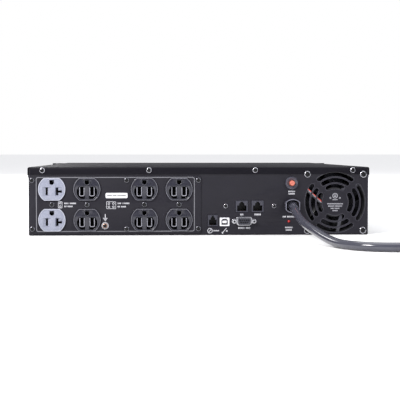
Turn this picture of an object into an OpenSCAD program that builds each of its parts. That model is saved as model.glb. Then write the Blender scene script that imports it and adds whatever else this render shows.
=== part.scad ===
// Rack-mount uninterruptible power supply, two rack units high. Millimetres.
// +X is to the right as seen from the rear, +Y runs from the rear panel to the
// front bezel, +Z is up. The origin is under the middle of the footprint.

/* [Case] */
// Width of the chassis over its side walls
case_w = 431; // [425:1:440]
// Height of the case
case_h = 86.5; // [86:0.5:88]
// Depth of the chassis from the rear panel to the front wall
case_d = 480; // [470:5:560]
// Thickness of the chassis sheet
sheet = 1.2; // [0.8:0.1:1.2]
// Thickness of the cover sheet
cover_t = 1; // [0.8:0.1:1.2]
// Height of the cover's lip over the rear panel
lip_h = 9.1; // [8:0.1:10]
// Height of the cover's skirts down the sides
skirt_h = 13.2; // [12:0.1:16]

/* [Outlets] */
// Width of a receptacle's face
outlet_face_d = 34.2; // [33.5:0.1:34.4]
// Height of a receptacle's face between its flats
outlet_face_h = 28.4; // [28:0.1:29]
// Distance between the two faces of one receptacle
outlet_pitch = 38.9; // [38.5:0.1:39.5]
// How far a face stands proud of the outlet plate
outlet_proud = 2; // [1:0.1:3]

/* [Fan] */
// Side of the square fan
fan_size = 80; // [78:1:80]
// Depth of the fan
fan_depth = 25; // [20:1:38]
// Distance between the fan's screws
fan_screw_pitch = 71.5; // [70:0.5:71.5]

/* [Breaker] */
// How far the set button reaches out of the rear panel
breaker_reach = 8; // [6:0.5:10]
// How far the button pops out when the breaker trips
breaker_travel = 4; // [3:0.5:5]

/* [Front] */
// Depth of the bezel in front of the chassis
bezel_d = 32; // [28:1:40]
// Thickness of the bezel's plastic wall
bezel_wall = 2.5; // [2:0.1:3]
// Width of the fixed control end of the bezel
control_w = 108.5; // [104:0.5:109]
// Travel of the front buttons
button_travel = 1.5; // [1:0.1:1.8]

/* [Rack ears] */
// Width over the two rack ears
rack_w = 482.6; // [480:0.1:484]
// Distance between the slots across the rack
rack_slot_span = 465.1; // [464:0.1:466]
// Distance between the slots up the rack
rack_slot_rise = 76.2; // [76.1:0.1:76.3]

/* [Mains lead] */
// Diameter of the mains cord
cord_d = 10; // [9:0.5:10]
// Diameter of the coil at the middle of its turns
coil_mid_d = 110; // [100:5:120]

/* [Hidden] */

$fn = 48;
eps = 0.01;
gap = 0.3;

// Planes along the depth: the set breaker button and the bezel's face are the
// two ends, and the origin is midway between them.
total_d = breaker_reach + case_d + bezel_d;
rear_y = -total_d / 2 + breaker_reach;
front_y = rear_y + case_d;
inner_x = case_w / 2 - sheet;
cover_x = case_w / 2 + cover_t;
lid_z = case_h - cover_t;

// Rear panel layout: places are x and z on the panel.
plate_x = [-215, 1.9];
plate_z = [2.5, 76];
plate_t = 1.2;
plate_screw_x = [-211, -92.3, -1.6];
plate_screw_z = [8.5, 69.9];
outlet_x = [-186.2, -142.1, -69.9, -26];
outlet_z = 39.15;
outlet_body = [33, 70, 25];
lip_screw_x = [-198, -64, 70.5, 195];
lip_screw_z = 82.4;
label_at = [-104.9, 50.6];
ground_at = [-119.5, 12.5];
jack_in_at = [53.7, 36.5];
jack_out_at = [73.9, 36.5];
shutdown_at = [16.8, 18.5];
usb_at = [31.8, 16.8];
serial_at = [56.7, 17.6];
comm_screw_x = [33.2, 94.8];
comm_screw_z = 36.9;
breaker_at = [117.3, 66.1];
gland_at = [117.8, 37.2];
light_at = [113.8, 17.3];
fan_at = [173, 41.4];
network_jack = [15.5, 14.6, 16];
shutdown_jack_size = [12.3, 14, 16];
usb_size = [12.4, 10.8, 16];
board_t = 1.6;
comm_board_back = 16;
serial_screw_pitch = 24.99;

// Screws in the sides of the case.
side_screw_y = [-180, -20, 150];
side_screw_z = 78.4;
ear_screw_y = [190, 212];
ear_screw_z = [20, 56];

// Grille of the fan: three rings of slots in four quadrants.
grille_rings = [[17, 23.5], [25.5, 31.2], [33.2, 38.8]];
grille_spoke = 6.3;
slot_end_ease = 0.04;
fan_hole_r = 38;
fan_hub_r = 19;
fan_strut_t = 2.8;
fan_strut_lift = 2.5;

// Battery bay, seen in plan.
bay_x = [-inner_x, 106];
bay_y = [8, front_y - sheet];
bay_top = 83;
tray_x = [-209, 104];
tray_y = [14, front_y - 2];
tray_z = [2.5, 78];
battery = [151, 94, 65];
battery_x = [-205, -50];
battery_y = [29, 124];
terminal = [0.8, 6.2, 6.35];
plug_x = 60;
plug_z = 40;
wire_d = 4;

// Circuit boards and power parts.
board_x = [-50, 126];
board_y = [-215, 0];
board_z = 8;
core_at = [-130, -120];
core = [96, 86, 76];
heat_sink = [22, 110, 42];
heat_sink_x = [-30, 48];
capacitor_at = [[84, -170], [84, -145], [84, -120], [110, -150]];
relay_at = [[2, -190], [26, -190], [84, -70], [84, -40]];

// Front: the bezel is in two parts, and places are x and z on its face.
bezel_z = [1, 86];
control_x = [case_w / 2 - control_w, case_w / 2];
cover_x_range = [-case_w / 2, control_x[0] - 0.6];
display_at = [144, 52];
display_size = [58, 30];
recess_d = 1.5;
power_at = [192, 52];
display_button_at = [126, 20];
mute_button_at = [158, 20];
power_button_r = 7;
pill = [18, 7];

// Rack ears.
ear_t = 2.5;
ear_arm = 50;
ear_z = [0.8, 85.8];
slot_l = 10.3;
slot_w = 6.8;

// Mains lead: the route's points along the middle of the cord.
gland_cup = 3;
lead_route = [[117.8, -255, 37.2], [117.8, -266, 36.8], [117.8, -284, 32], [119.5, -302, 26.2],
    [122.5, -322, 20.8], [127, -344, 16.2], [132.5, -368, 12], [138.5, -392, 8], [145, -415, 5.6],
    [153.5, -434, 5.2], [166, -449, 5.2], [183, -458, 5.2], [203, -462, 5.4], [225, -463, 5.7],
    [250, -463, 6], [278, -463, 6], [308, -463, 6]];
tail_route = [[368, -403, 36], [368, -390, 35.4], [368, -374, 31.6], [368, -356, 24.6],
    [368, -338, 18], [368, -322, 14.4], [368, -308, 13.2], [368, -298, 13]];
coil_at = [308, -403];
tie_t = 1;
coil_layers = 4;
coil_rows = 2;
plug_body_y = [-298, -252];
plug_body_z = 13;
blade_l = 17.5;
lead_sides = 12;

// ---------------------------------------------------------------- helpers

// Stands its children on the rear panel: x right, y up, z out of the panel.
module at_rear(x, z) {
    translate([x, rear_y, z]) rotate([90, 0, 0]) children();
}

// Stands its children on the front wall: x to its right, y up, z out of it.
module at_front(x, z) {
    translate([x, front_y, z]) rotate([90, 0, 180]) children();
}

module block(low, high) {
    translate(low) cube(high - low);
}

module rounded_rect(size, r) {
    square([size[0] - 2 * r, size[1]], center = true);
    square([size[0], size[1] - 2 * r], center = true);
    for (x = [-1, 1], y = [-1, 1])
        translate([x * (size[0] / 2 - r), y * (size[1] / 2 - r)]) circle(r);
}

// A plate between heights low and high, centred on the origin.
module slab(size, r, low, high) {
    translate([0, 0, low]) linear_extrude(high - low) rounded_rect(size, r);
}

module centred_box(size, low, high) {
    translate([-size[0] / 2, -size[1] / 2, low]) cube([size[0], size[1], high - low]);
}

module cylinder_at(x, y, r, low, high) {
    translate([x, y, low]) cylinder(r = r, h = high - low);
}

// A pan-head screw with a cross recess, its head on z = 0.
module pan_screw(head_d, head_h, shank_d, shank_l) {
    dome = head_h * 0.55;
    dome_r = (pow(head_d / 2, 2) + dome * dome) / (2 * dome);
    difference() {
        union() {
            intersection() {
                cylinder(d = head_d, h = head_h);
                translate([0, 0, head_h - dome_r]) sphere(dome_r, $fn = 64);
            }
            translate([0, 0, -shank_l]) cylinder(d = shank_d, h = shank_l + eps);
        }
        for (turn = [0, 90])
            rotate(turn) centred_box([head_d * 0.56, head_d * 0.13], head_h * 0.4, head_h + 1);
    }
}

// A straight bar between two points in the plane.
module bar(p, q, w) {
    run = q - p;
    translate(p) rotate(atan2(run[1], run[0])) translate([0, -w / 2]) square([norm(run), w]);
}

function unit(v) = v / norm(v);
function flow(path, i) =
    unit(path[min(i + 1, len(path) - 1)] - path[max(i - 1, 0)]);
function ring_at(p, along, up, r, sides) =
    let (across = unit(cross(along, up)), over = cross(across, along))
    [for (k = [0 : sides - 1]) p + r * (cos(360 * k / sides) * across + sin(360 * k / sides) * over)];

// A round tube swept along the points of a path.
module tube(path, d, sides, up = [0, 0, 1]) {
    rings = [for (i = [0 : len(path) - 1]) each ring_at(path[i], flow(path, i), up, d / 2, sides)];
    last = (len(path) - 1) * sides;
    walls = [for (i = [0 : len(path) - 2], k = [0 : sides - 1])
        let (a = i * sides + k, b = i * sides + (k + 1) % sides) [a, b, b + sides, a + sides]];
    start_cap = [for (k = [sides - 1 : -1 : 0]) k];
    end_cap = [for (k = [0 : sides - 1]) last + k];
    polyhedron(rings, concat(walls, [start_cap], [end_cap]), convexity = 6);
}

// ---------------------------------------------------------------- chassis

module chassis_tray() {
    color("#2e2d33")
    difference() {
        union() {
            block([-case_w / 2, rear_y, 0], [case_w / 2, front_y, sheet]);
            for (side = [-1, 1])
                translate([side * (case_w - sheet) / 2, (rear_y + front_y) / 2, lid_z / 2])
                    cube([sheet, case_d, lid_z], center = true);
            for (x = [board_x[0] + 6, board_x[1] - 6], y = [board_y[0] + 8, -107, board_y[1] - 8])
                cylinder_at(x, y, 3.5, 0, board_z);
        }
        for (side = [-1, 1], i = [0 : 13])
            translate([side * case_w / 2, -160 + i * 9, 40]) cube([6, 4, 44], center = true);
        for (side = [-1, 1], y = side_screw_y)
            translate([side * case_w / 2, y, side_screw_z]) rotate([0, 90, 0])
                cylinder(d = 3.5, h = 6, center = true);
        for (side = [-1, 1], y = ear_screw_y, z = ear_screw_z)
            translate([side * case_w / 2, y, z]) rotate([0, 90, 0])
                cylinder(d = 3.5, h = 6, center = true);
    }
}

module outlet_face(grow) {
    intersection() {
        circle(outlet_face_d / 2 + grow, $fn = 96);
        square([outlet_face_d + 2, outlet_face_h + 2 * grow], center = true);
    }
}

module grille_slot(ring) {
    mid = (ring[0] + ring[1]) / 2;
    half = (ring[1] - ring[0]) / 2;
    reach = 45 - asin((grille_spoke / 2 + half) / mid);
    far = 60;
    intersection() {
        difference() {
            circle(ring[1], $fn = 96);
            circle(ring[0], $fn = 96);
        }
        polygon([[0, 0], far * [cos(reach), -sin(reach)], [far, 0], far * [cos(reach), sin(reach)]]);
    }
    for (side = [-1, 1])
        rotate(side * reach) translate([mid, 0]) circle(half - slot_end_ease);
}

module fan_grille_cut() {
    for (quadrant = [0 : 90 : 270], ring = grille_rings)
        rotate(quadrant) grille_slot(ring);
}

module at_fan_screws() {
    for (x = [-1, 1], y = [-1, 1])
        translate([x * fan_screw_pitch / 2, y * fan_screw_pitch / 2]) children();
}

module serial_outline(w, h) {
    taper = 1.2;
    polygon([[-w / 2, h / 2], [-w / 2 + taper, -h / 2], [w / 2 - taper, -h / 2], [w / 2, h / 2]]);
}

module gland_outline(w, h) {
    arch_r = 12.7;
    intersection() {
        translate([0, h / 2 - arch_r]) circle(arch_r);
        translate([0, arch_r - h / 2]) circle(arch_r);
        square([w, h + 2], center = true);
    }
}

module rear_panel() {
    openings = [[-205, -124], [-88, -7]];
    opening_z = [3.6, 74.7];
    color("#34323c")
    at_rear(0, 0) difference() {
        translate([-inner_x, sheet, -sheet]) cube([2 * inner_x, lid_z - sheet, sheet]);
        translate([0, 0, -5]) linear_extrude(10) {
            for (x = openings)
                translate([x[0], opening_z[0]]) square([x[1] - x[0], opening_z[1] - opening_z[0]]);
            for (at = [jack_in_at, jack_out_at])
                translate(at) square([network_jack[0], network_jack[1]], center = true);
            translate(shutdown_at) square([shutdown_jack_size[0], shutdown_jack_size[1]], center = true);
            translate(usb_at) square([usb_size[0], usb_size[1]], center = true);
            translate(serial_at) serial_outline(18.4, 9.6);
            for (side = [-1, 1])
                translate([serial_at[0] + side * serial_screw_pitch / 2, serial_at[1]]) circle(1.7);
            for (x = comm_screw_x) translate([x, comm_screw_z]) circle(1.7);
            translate(breaker_at) circle(6);
            translate(gland_at) circle(8);
            translate(light_at) circle(1.6);
            translate(fan_at) {
                fan_grille_cut();
                at_fan_screws() circle(2.3);
            }
            for (x = plate_screw_x, z = plate_screw_z) translate([x, z]) circle(1.8);
            for (x = lip_screw_x) translate([x, lip_screw_z]) circle(1.8);
            translate(ground_at) circle(2.2);
        }
    }
}

module front_wall() {
    color("#3a3940")
    at_front(0, 0) difference() {
        translate([-inner_x, sheet, -sheet]) cube([2 * inner_x, lid_z - sheet, sheet]);
        translate([-tray_x[1] - 1, tray_z[0] - 0.5, -5])
            cube([tray_x[1] - tray_x[0] + 2, tray_z[1] - tray_z[0] + 1.5, 10]);
        translate([-160, 30, -5]) cube([24, 14, 10]);
    }
}

module bay_wall() {
    wall_x = bay_x[1];
    color("#4a4950")
    difference() {
        union() {
            block([wall_x, bay_y[0] - sheet, sheet], [wall_x + sheet, bay_y[1], bay_top]);
            block([bay_x[0], bay_y[0] - sheet, sheet], [wall_x + eps, bay_y[0], bay_top]);
        }
        block([plug_x - 15, bay_y[0] - 5, plug_z - 10], [plug_x + 15, bay_y[0] + 5, plug_z + 10]);
    }
}

module top_cover() {
    notch = 4;
    color("#504b4e")
    difference() {
        union() {
            block([-cover_x, rear_y - cover_t, lid_z], [cover_x, front_y, case_h]);
            block([-cover_x, rear_y - cover_t, case_h - lip_h], [cover_x, rear_y, case_h]);
            for (side = [-1, 1])
                translate([side * (cover_x - cover_t / 2), rear_y + (case_d + notch) / 2, case_h - skirt_h / 2])
                    cube([cover_t, case_d - notch, skirt_h], center = true);
        }
        at_rear(0, 0) translate([0, 0, -cover_t]) linear_extrude(5) {
            translate(fan_at) {
                fan_grille_cut();
                at_fan_screws() circle(5);
            }
            for (x = lip_screw_x) translate([x, lip_screw_z]) circle(1.8);
        }
        for (side = [-1, 1], y = side_screw_y)
            translate([side * cover_x, y, side_screw_z]) rotate([0, 90, 0])
                cylinder(d = 3.5, h = 6, center = true);
    }
}

module case_screws() {
    color("#c8c8cc") {
        for (x = lip_screw_x)
            at_rear(x, lip_screw_z) translate([0, 0, cover_t]) pan_screw(7.2, 2.2, 3.2, cover_t + sheet);
        for (side = [-1, 1], y = side_screw_y)
            translate([side * cover_x, y, side_screw_z]) rotate([0, side * 90, 0])
                pan_screw(7.2, 2.2, 3.2, 5);
        for (side = [-1, 1], y = ear_screw_y, z = ear_screw_z)
            translate([side * (case_w / 2 + ear_t), y, z]) rotate([0, side * 90, 0])
                pan_screw(7.2, 2.2, 3.2, 6);
    }
}

// ---------------------------------------------------------------- outlets

module outlet_plate() {
    middle = [(plate_x[0] + plate_x[1]) / 2, (plate_z[0] + plate_z[1]) / 2];
    size = [plate_x[1] - plate_x[0], plate_z[1] - plate_z[0]];
    color("#36343e")
    at_rear(0, 0) difference() {
        translate(middle) slab(size, 3, 0, plate_t);
        translate([0, 0, -1]) linear_extrude(5) {
            for (x = outlet_x, side = [-1, 1])
                translate([x, outlet_z + side * outlet_pitch / 2]) outlet_face(0.3);
            for (x = outlet_x) translate([x, outlet_z]) circle(1.8);
            for (x = plate_screw_x, z = plate_screw_z) translate([x, z]) circle(1.8);
            translate(ground_at) circle(2.2);
        }
    }
}

// The ground hole of one face: round below and square above.
ground_r = 2.6;
ground_up = 8.6;
ground_top = 2.8;
slot_x = 6.35;
slot_y = -3;
slot_size = [2.1, 8];

module ground_hole() {
    circle(ground_r);
    translate([-ground_r, 0]) square([2 * ground_r, ground_top]);
}

module blade_slots() {
    for (side = [-1, 1])
        translate([side * slot_x, slot_y]) square(slot_size, center = true);
}

// The hollows of one face, cut from its front at height top.
module outlet_hollows(top, twenty_amp) {
    translate([0, ground_up, top - 15]) linear_extrude(16) ground_hole();
    translate([0, 0, top - 5]) linear_extrude(6) blade_slots();
    if (twenty_amp)
        translate([slot_x, slot_y - 1.2, top - 5]) cube([6, 2.4, 6]);
    for (side = [-1, 1])
        translate([side * slot_x, slot_y, 0]) centred_box([3.4, 9], top - 16, top - 4.9);
}

// The deep pockets on each side of the middle web, with a shroud round each slot.
module outlet_pockets(top) {
    depth = 3.5;
    web = 2.8;
    difference() {
        translate([0, 0, top - depth]) linear_extrude(depth + 1) intersection() {
            outlet_face(-2.6);
            union() {
                for (side = [-1, 1]) {
                    translate([side * (web + 5), -6]) square([10, 13], center = true);
                    translate([side * (web + 3.4), 0]) square([6.8, 5.6], center = true);
                }
            }
        }
        for (side = [-1, 1])
            translate([side * slot_x, -3.6, 0]) difference() {
                centred_box([6.4, 10.4], top - depth - 1, top - 0.4);
                translate([0, 1.2, 0]) centred_box([4.4, 10.6], top - depth, top + 1);
            }
    }
}

module receptacle(x, twenty_amp) {
    top = plate_t + outlet_proud;
    at_rear(x, outlet_z) difference() {
        union() {
            slab([outlet_body[0], outlet_body[1]], 3, -outlet_body[2], 0);
            for (side = [-1, 1])
                translate([0, side * outlet_pitch / 2, -eps]) linear_extrude(top + eps) outlet_face(0);
        }
        for (side = [-1, 1])
            translate([0, side * outlet_pitch / 2, 0]) {
                outlet_hollows(top, twenty_amp);
                if (!twenty_amp) outlet_pockets(top);
            }
        cylinder_at(0, 0, 1.6, -8, 1);
    }
}

module outlet_20a() {
    color("#c4c6d6") receptacle(outlet_x[0], true);
}

module outlet_15a_left() {
    color("#3f3f4a") receptacle(outlet_x[1], false);
}

module outlet_15a_middle() {
    color("#3f3f4a") receptacle(outlet_x[2], false);
}

module outlet_15a_right() {
    color("#3f3f4a") receptacle(outlet_x[3], false);
}

module outlet_contacts() {
    top = plate_t + outlet_proud;
    color("#c08050")
    for (x = outlet_x, face = [-1, 1])
        at_rear(x, outlet_z + face * outlet_pitch / 2)
            for (slot = [-1, 1], leaf = [-1, 1])
                translate([slot * slot_x + leaf * 1.4, slot_y, 0]) centred_box([0.6, 7], top - 15, top - 5.2);
}

module outlet_screws() {
    color("#2c2c30") {
        for (x = outlet_x)
            at_rear(x, outlet_z) translate([0, 0, plate_t]) pan_screw(6.8, 2, 3, 6);
        for (x = plate_screw_x, z = plate_screw_z)
            at_rear(x, z) translate([0, 0, plate_t]) pan_screw(6.8, 2, 3, 5);
    }
}

module bank_label() {
    color("#f0f0f0") at_rear(label_at[0], label_at[1]) slab([27.5, 6.6], 1.4, plate_t, plate_t + 0.3);
}

module ground_screw() {
    color("#d8c8b0") at_rear(ground_at[0], ground_at[1]) {
        cylinder_at(0, 0, 4.7, plate_t, plate_t + 0.9);
        translate([0, 0, plate_t + 0.9]) pan_screw(6.6, 2, 3.8, 8);
    }
}

// ---------------------------------------------------------------- ports

// A modular jack with its latch notch upward. It is w wide inside.
module modular_jack(at, size, w) {
    color("#4c4c5a")
    at_rear(at[0], at[1]) difference() {
        centred_box([size[0], size[1]], -size[2], 0.6);
        translate([0, 0, -size[2] + 2]) linear_extrude(size[2]) {
            translate([0, -2.4]) square([w, 7], center = true);
            translate([0, 2]) square([w * 0.54, 4], center = true);
            translate([0, 4.4]) square([w * 0.27, 3], center = true);
        }
    }
}

module network_jack_in() {
    modular_jack(jack_in_at, network_jack, 11.8);
}

module network_jack_out() {
    modular_jack(jack_out_at, network_jack, 11.8);
}

module shutdown_jack() {
    modular_jack(shutdown_at, shutdown_jack_size, 9.6);
}

module usb_port() {
    color("#d8d8de")
    at_rear(usb_at[0], usb_at[1]) {
        difference() {
            slab([usb_size[0], usb_size[1]], 0.5, -usb_size[2], 0.6);
            translate([0, 0, -9]) linear_extrude(12) difference() {
                square([8.45, 7.78], center = true);
                for (side = [-1, 1])
                    translate([side * 4.225, 3.89]) rotate(45) square(2.2, center = true);
            }
        }
        translate([0, -0.1, 0]) centred_box([5.6, 3.2], -9 - eps, -0.6);
    }
}

module serial_shell() {
    color("#9a9aa0")
    at_rear(serial_at[0], serial_at[1]) difference() {
        union() {
            slab([30.8, 12.5], 1.2, 0, 0.8);
            translate([0, 0, -10]) linear_extrude(15.5) serial_outline(18.2, 9.4);
        }
        translate([0, 0, -11]) linear_extrude(18) serial_outline(17.2, 8.4);
        for (side = [-1, 1]) cylinder_at(side * serial_screw_pitch / 2, 0, 1.5, -1, 2);
    }
}

module serial_insert() {
    color("#1c1c20")
    at_rear(serial_at[0], serial_at[1]) difference() {
        union() {
            translate([0, 0, -10]) linear_extrude(15.2) serial_outline(17.2 - eps, 8.4 - eps);
            centred_box([24, 11], -comm_board_back, -10);
        }
        for (i = [-2 : 2]) cylinder_at(i * 2.77, 1.42, 0.55, -2, 6);
        for (i = [-1.5 : 1.5]) cylinder_at(i * 2.77, -1.42, 0.55, -2, 6);
    }
}

jackscrew_hole_r = 1.15;

module serial_jackscrews() {
    color("#b0b0b4")
    for (side = [-1, 1])
        at_rear(serial_at[0] + side * serial_screw_pitch / 2, serial_at[1]) difference() {
            union() {
                translate([0, 0, 0.8]) cylinder(r = 2.8, h = 4.4, $fn = 6);
                cylinder_at(0, 0, 1.4, -8, 1);
            }
            cylinder_at(0, 0, jackscrew_hole_r, -3, 6);
        }
}

module comm_board() {
    color("#2f5a3a")
    at_rear(0, 0) difference() {
        translate([8, 7, -comm_board_back - board_t]) cube([93, 42, board_t]);
        for (x = comm_screw_x) cylinder_at(x, comm_screw_z, 1.7, -20, 0);
    }
}

module comm_screws() {
    color("#c8c8cc")
    for (x = comm_screw_x)
        at_rear(x, comm_screw_z) {
            pan_screw(5.8, 1.8, 2.9, 20);
            difference() {
                cylinder_at(0, 0, 2.6, -comm_board_back, -sheet);
                cylinder_at(0, 0, 1.45, -comm_board_back - 1, 0);
            }
        }
}

module fault_light() {
    color("#c03030")
    at_rear(light_at[0], light_at[1]) {
        cylinder_at(0, 0, 1.5, -8, 0.4);
        translate([0, 0, 0.4]) intersection() {
            sphere(1.5);
            cylinder(r = 2, h = 2);
        }
    }
}

module breaker_body() {
    color("#2a2a2e")
    at_rear(breaker_at[0], breaker_at[1]) difference() {
        union() {
            cylinder(r1 = 8.3, r2 = 7.4, h = 3.6);
            cylinder_at(0, 0, 5.9, -sheet, eps);
            centred_box([14, 28], -30, -sheet);
        }
        cylinder_at(0, 0, 4.15, -14, 5);
    }
}

module breaker_button() {
    r = 3.9;
    dome = 0.8;
    dome_r = (r * r + dome * dome) / (2 * dome);
    color("#e06a55")
    at_rear(breaker_at[0], breaker_at[1]) intersection() {
        cylinder_at(0, 0, r, -8, breaker_reach);
        translate([0, 0, breaker_reach - dome_r]) sphere(dome_r, $fn = 64);
    }
}

// The gland: a cup with a flat on each side, and a tapered sleeve behind the panel.
module strain_relief() {
    color("#26262c")
    at_rear(gland_at[0], gland_at[1]) {
        intersection() {
            difference() {
                linear_extrude(9.5) gland_outline(19.2, 18.6);
                translate([0, 0, gland_cup]) linear_extrude(8) gland_outline(15.6, 15);
            }
            cylinder(r1 = 12.6, r2 = 10.4, h = 9.5);
        }
        difference() {
            cylinder_at(0, 0, 6.4, 0, 6);
            cylinder_at(0, 0, cord_d / 2 + 0.01, gland_cup, 8);
        }
        cylinder_at(0, 0, 7.9, -sheet, eps);
        translate([0, 0, -18]) cylinder(r1 = 6, r2 = 9.5, h = 18 - sheet);
    }
}

// ---------------------------------------------------------------- mains lead

module power_cord_lead() {
    color("#3c3c48") tube(lead_route, cord_d, lead_sides);
}

module power_cord_coil() {
    color("#3c3c48")
    translate([coil_at[0], coil_at[1], tie_t])
        rotate_extrude($fn = 64)
            translate([coil_mid_d / 2 - coil_rows * cord_d / 2, 0])
                square([coil_rows * cord_d, coil_layers * cord_d]);
}

module power_cord_tail() {
    color("#3c3c48") tube(tail_route, cord_d, lead_sides);
}

module cord_tie() {
    inner = [coil_rows * cord_d, coil_layers * cord_d];
    color("#1c1c20")
    translate([coil_at[0] - coil_mid_d / 2, coil_at[1], inner[1] / 2 + tie_t])
        rotate([90, 0, 0]) difference() {
            centred_box([inner[0] + 2 * tie_t, inner[1] + 2 * tie_t], -9, 9);
            centred_box(inner, -10, 10);
        }
}

module plug_body() {
    mid = [tail_route[0][0], 0, plug_body_z];
    grip = plug_body_y[1] - 16;
    color("#2c2c34")
    translate(mid) {
        translate([0, plug_body_y[0], 0]) rotate([-90, 0, 0])
            cylinder(r1 = 6.4, r2 = 9, h = grip - plug_body_y[0]);
        translate([0, grip, 0]) rotate([-90, 0, 0]) linear_extrude(16) rounded_rect([30, 25.6], 6);
    }
}

module plug_blades() {
    color("#d0b070")
    translate([tail_route[0][0], plug_body_y[1], plug_body_z]) {
        block([-7.1, 0, -7], [-5.6, blade_l, -0.6]);
        block([3.15, 0, -4.5], [9.55, blade_l, -3]);
        translate([0, 0, 7.5]) rotate([-90, 0, 0]) cylinder(r = 2.4, h = blade_l + 3);
    }
}

// ---------------------------------------------------------------- fan

fan_inner = -sheet - gap;
shaft_r = 1.5;

module fan_strut(turn) {
    start = [fan_hub_r * cos(60 + turn), fan_hub_r * sin(60 + turn)];
    end = [39.5 * cos(36 + turn), 39.5 * sin(36 + turn)];
    bar(start * 0.9, end, 4);
}

module fan_frame() {
    front = -sheet;
    back = front - fan_depth;
    hub_front = front - fan_strut_lift;
    hub_back = hub_front - fan_strut_t - 2;
    color("#202024")
    at_rear(fan_at[0], fan_at[1]) {
        difference() {
            slab([fan_size, fan_size], 4, back, front);
            cylinder_at(0, 0, fan_hole_r, back - 1, front + 1);
            at_fan_screws() cylinder_at(0, 0, 2.2, back - 1, front + 1);
            translate([-fan_size / 2 - 1, 14, front - 5.5]) cube([10, 10, 8]);
        }
        difference() {
            union() {
                for (turn = [0, 120, 240])
                    translate([0, 0, hub_front - fan_strut_t]) linear_extrude(fan_strut_t) fan_strut(turn);
                cylinder_at(0, 0, fan_hub_r, hub_back, hub_front);
            }
            cylinder_at(0, 0, shaft_r + 0.05, hub_back - 1, hub_front - 1.5);
        }
    }
}

module fan_rotor() {
    front = -sheet - fan_strut_lift - fan_strut_t - 2 - 0.6;
    back = -sheet - fan_depth + 0.8;
    blades = 7;
    blade_back = back + 1;
    blade_h = front - 1 - blade_back;
    color("#18181c")
    at_rear(fan_at[0], fan_at[1]) {
        cylinder_at(0, 0, 17.5, back, front);
        cylinder_at(0, 0, shaft_r, front - eps, front + 0.6 + 2.2);
        for (i = [0 : blades - 1])
            rotate(i * 360 / blades) translate([0, 0, blade_back])
                linear_extrude(blade_h, twist = 30, slices = 5) bar([16.5, 0], [36.4, 6], 1.8);
    }
}

module fan_screws() {
    color("#c8c8cc")
    at_rear(fan_at[0], fan_at[1]) at_fan_screws() pan_screw(8.9, 2.8, 4.2, 9);
}

// The fan's two wires run along a strut, round the frame and down to the board.
wire_route = [[-17, 1, -2.6], [-22, 5.6, -2.6], [-29, 12, -2.6], [-35, 17.8, -2.6], [-38.6, 21, -3],
    [-41.2, 22, -6], [-41.6, 22, -14], [-41.6, 20, -26], [-43, 8, -36], [-46, -12, -44], [-48.5, -29.6, -50]];

module fan_leads() {
    at_rear(fan_at[0], fan_at[1]) {
        color("#c02828") tube(wire_route, 1.3, 8, [0.4, 0.5, 0.8]);
        color("#202020") translate([0, -1.6, 0]) tube(wire_route, 1.3, 8, [0.4, 0.5, 0.8]);
    }
}

// ---------------------------------------------------------------- power parts

module main_board() {
    color("#2f5a3a") block([board_x[0], board_y[0], board_z], [board_x[1], board_y[1], board_z + board_t]);
}

leg = 16;
window_x = core[0] / 4 - 0.5;

module transformer_core() {
    color("#55555a")
    translate([core_at[0], core_at[1], sheet]) difference() {
        centred_box([core[0], core[1]], 0, core[2]);
        for (side = [-1, 1])
            translate([side * window_x, 0, leg]) centred_box([22, core[1] + 2], 0, core[2] - 2 * leg);
    }
}

module transformer_coil() {
    inner = window_x - 11;
    outer = window_x + 10.6;
    color("#b0793c")
    translate([core_at[0], core_at[1], sheet + leg + 0.3]) difference() {
        centred_box([2 * outer, core[1] + 2 * 17], 0, core[2] - 2 * leg - 0.6);
        centred_box([2 * inner, core[1]], -1, core[2]);
    }
}

module heat_sinks() {
    base = 4;
    fins = 7;
    color("#a8aab0")
    for (x = heat_sink_x)
        translate([x, -155, board_z + board_t]) {
            cube([base, heat_sink[1], heat_sink[2]]);
            for (i = [0 : fins - 1])
                translate([0, 0, i * (heat_sink[2] - 2) / (fins - 1)]) cube([heat_sink[0], heat_sink[1], 2]);
        }
}

module capacitors() {
    color("#303a4a")
    for (at = capacitor_at)
        translate([at[0], at[1], board_z + board_t]) {
            cylinder(r = 9, h = 34);
            translate([0, 0, 34]) cylinder(r = 8.2, h = 0.8);
        }
}

module relays() {
    color("#d8d4c4")
    for (at = relay_at)
        translate([at[0], at[1], board_z + board_t]) slab([19, 15.5], 1, 0, 16);
}

// ---------------------------------------------------------------- battery pack

module battery_tray() {
    t = 1.2;
    color("#5a5a60")
    difference() {
        union() {
            block([tray_x[0], tray_y[0], tray_z[0]], [tray_x[1], tray_y[1], tray_z[0] + t]);
            for (x = [tray_x[0], tray_x[1] - t])
                block([x, tray_y[0], tray_z[0]], [x + t, tray_y[1], 72]);
            block([tray_x[0], tray_y[0], tray_z[0]], [tray_x[1], tray_y[0] + t, 72]);
            block([tray_x[0], tray_y[1] - t, tray_z[0]], [tray_x[1], tray_y[1], tray_z[1]]);
            translate([(tray_x[0] + tray_x[1]) / 2, tray_y[1] + 7, 44]) difference() {
                cube([90, 14 + 2 * eps, 8], center = true);
                translate([0, -4, 0]) cube([74, 14, 10], center = true);
            }
        }
        block([plug_x - 14.5, tray_y[0] - 1, plug_z - 9.5], [plug_x + 14.5, tray_y[0] + 3, plug_z + 9.5]);
    }
}

// One row of two sealed batteries on their sides. terminals is 1 where the
// terminals face the front, and -1 where they face the rear.
module battery_row(y, terminals) {
    lid = 9;
    low = tray_z[0] + 1.2;
    body_y = terminals > 0 ? y : y + lid;
    lid_y = terminals > 0 ? y + battery[1] - lid : y;
    for (x = battery_x) {
        block([x, body_y, low], [x + battery[0], body_y + battery[1] - lid, low + battery[2]]);
        block([x + 0.6, lid_y - eps, low + 0.6],
            [x + battery[0] - 0.6, lid_y + lid + eps, low + battery[2] - 0.6]);
    }
}

module batteries_rear() {
    color("#3a3a3e") battery_row(battery_y[0], -1);
}

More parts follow.
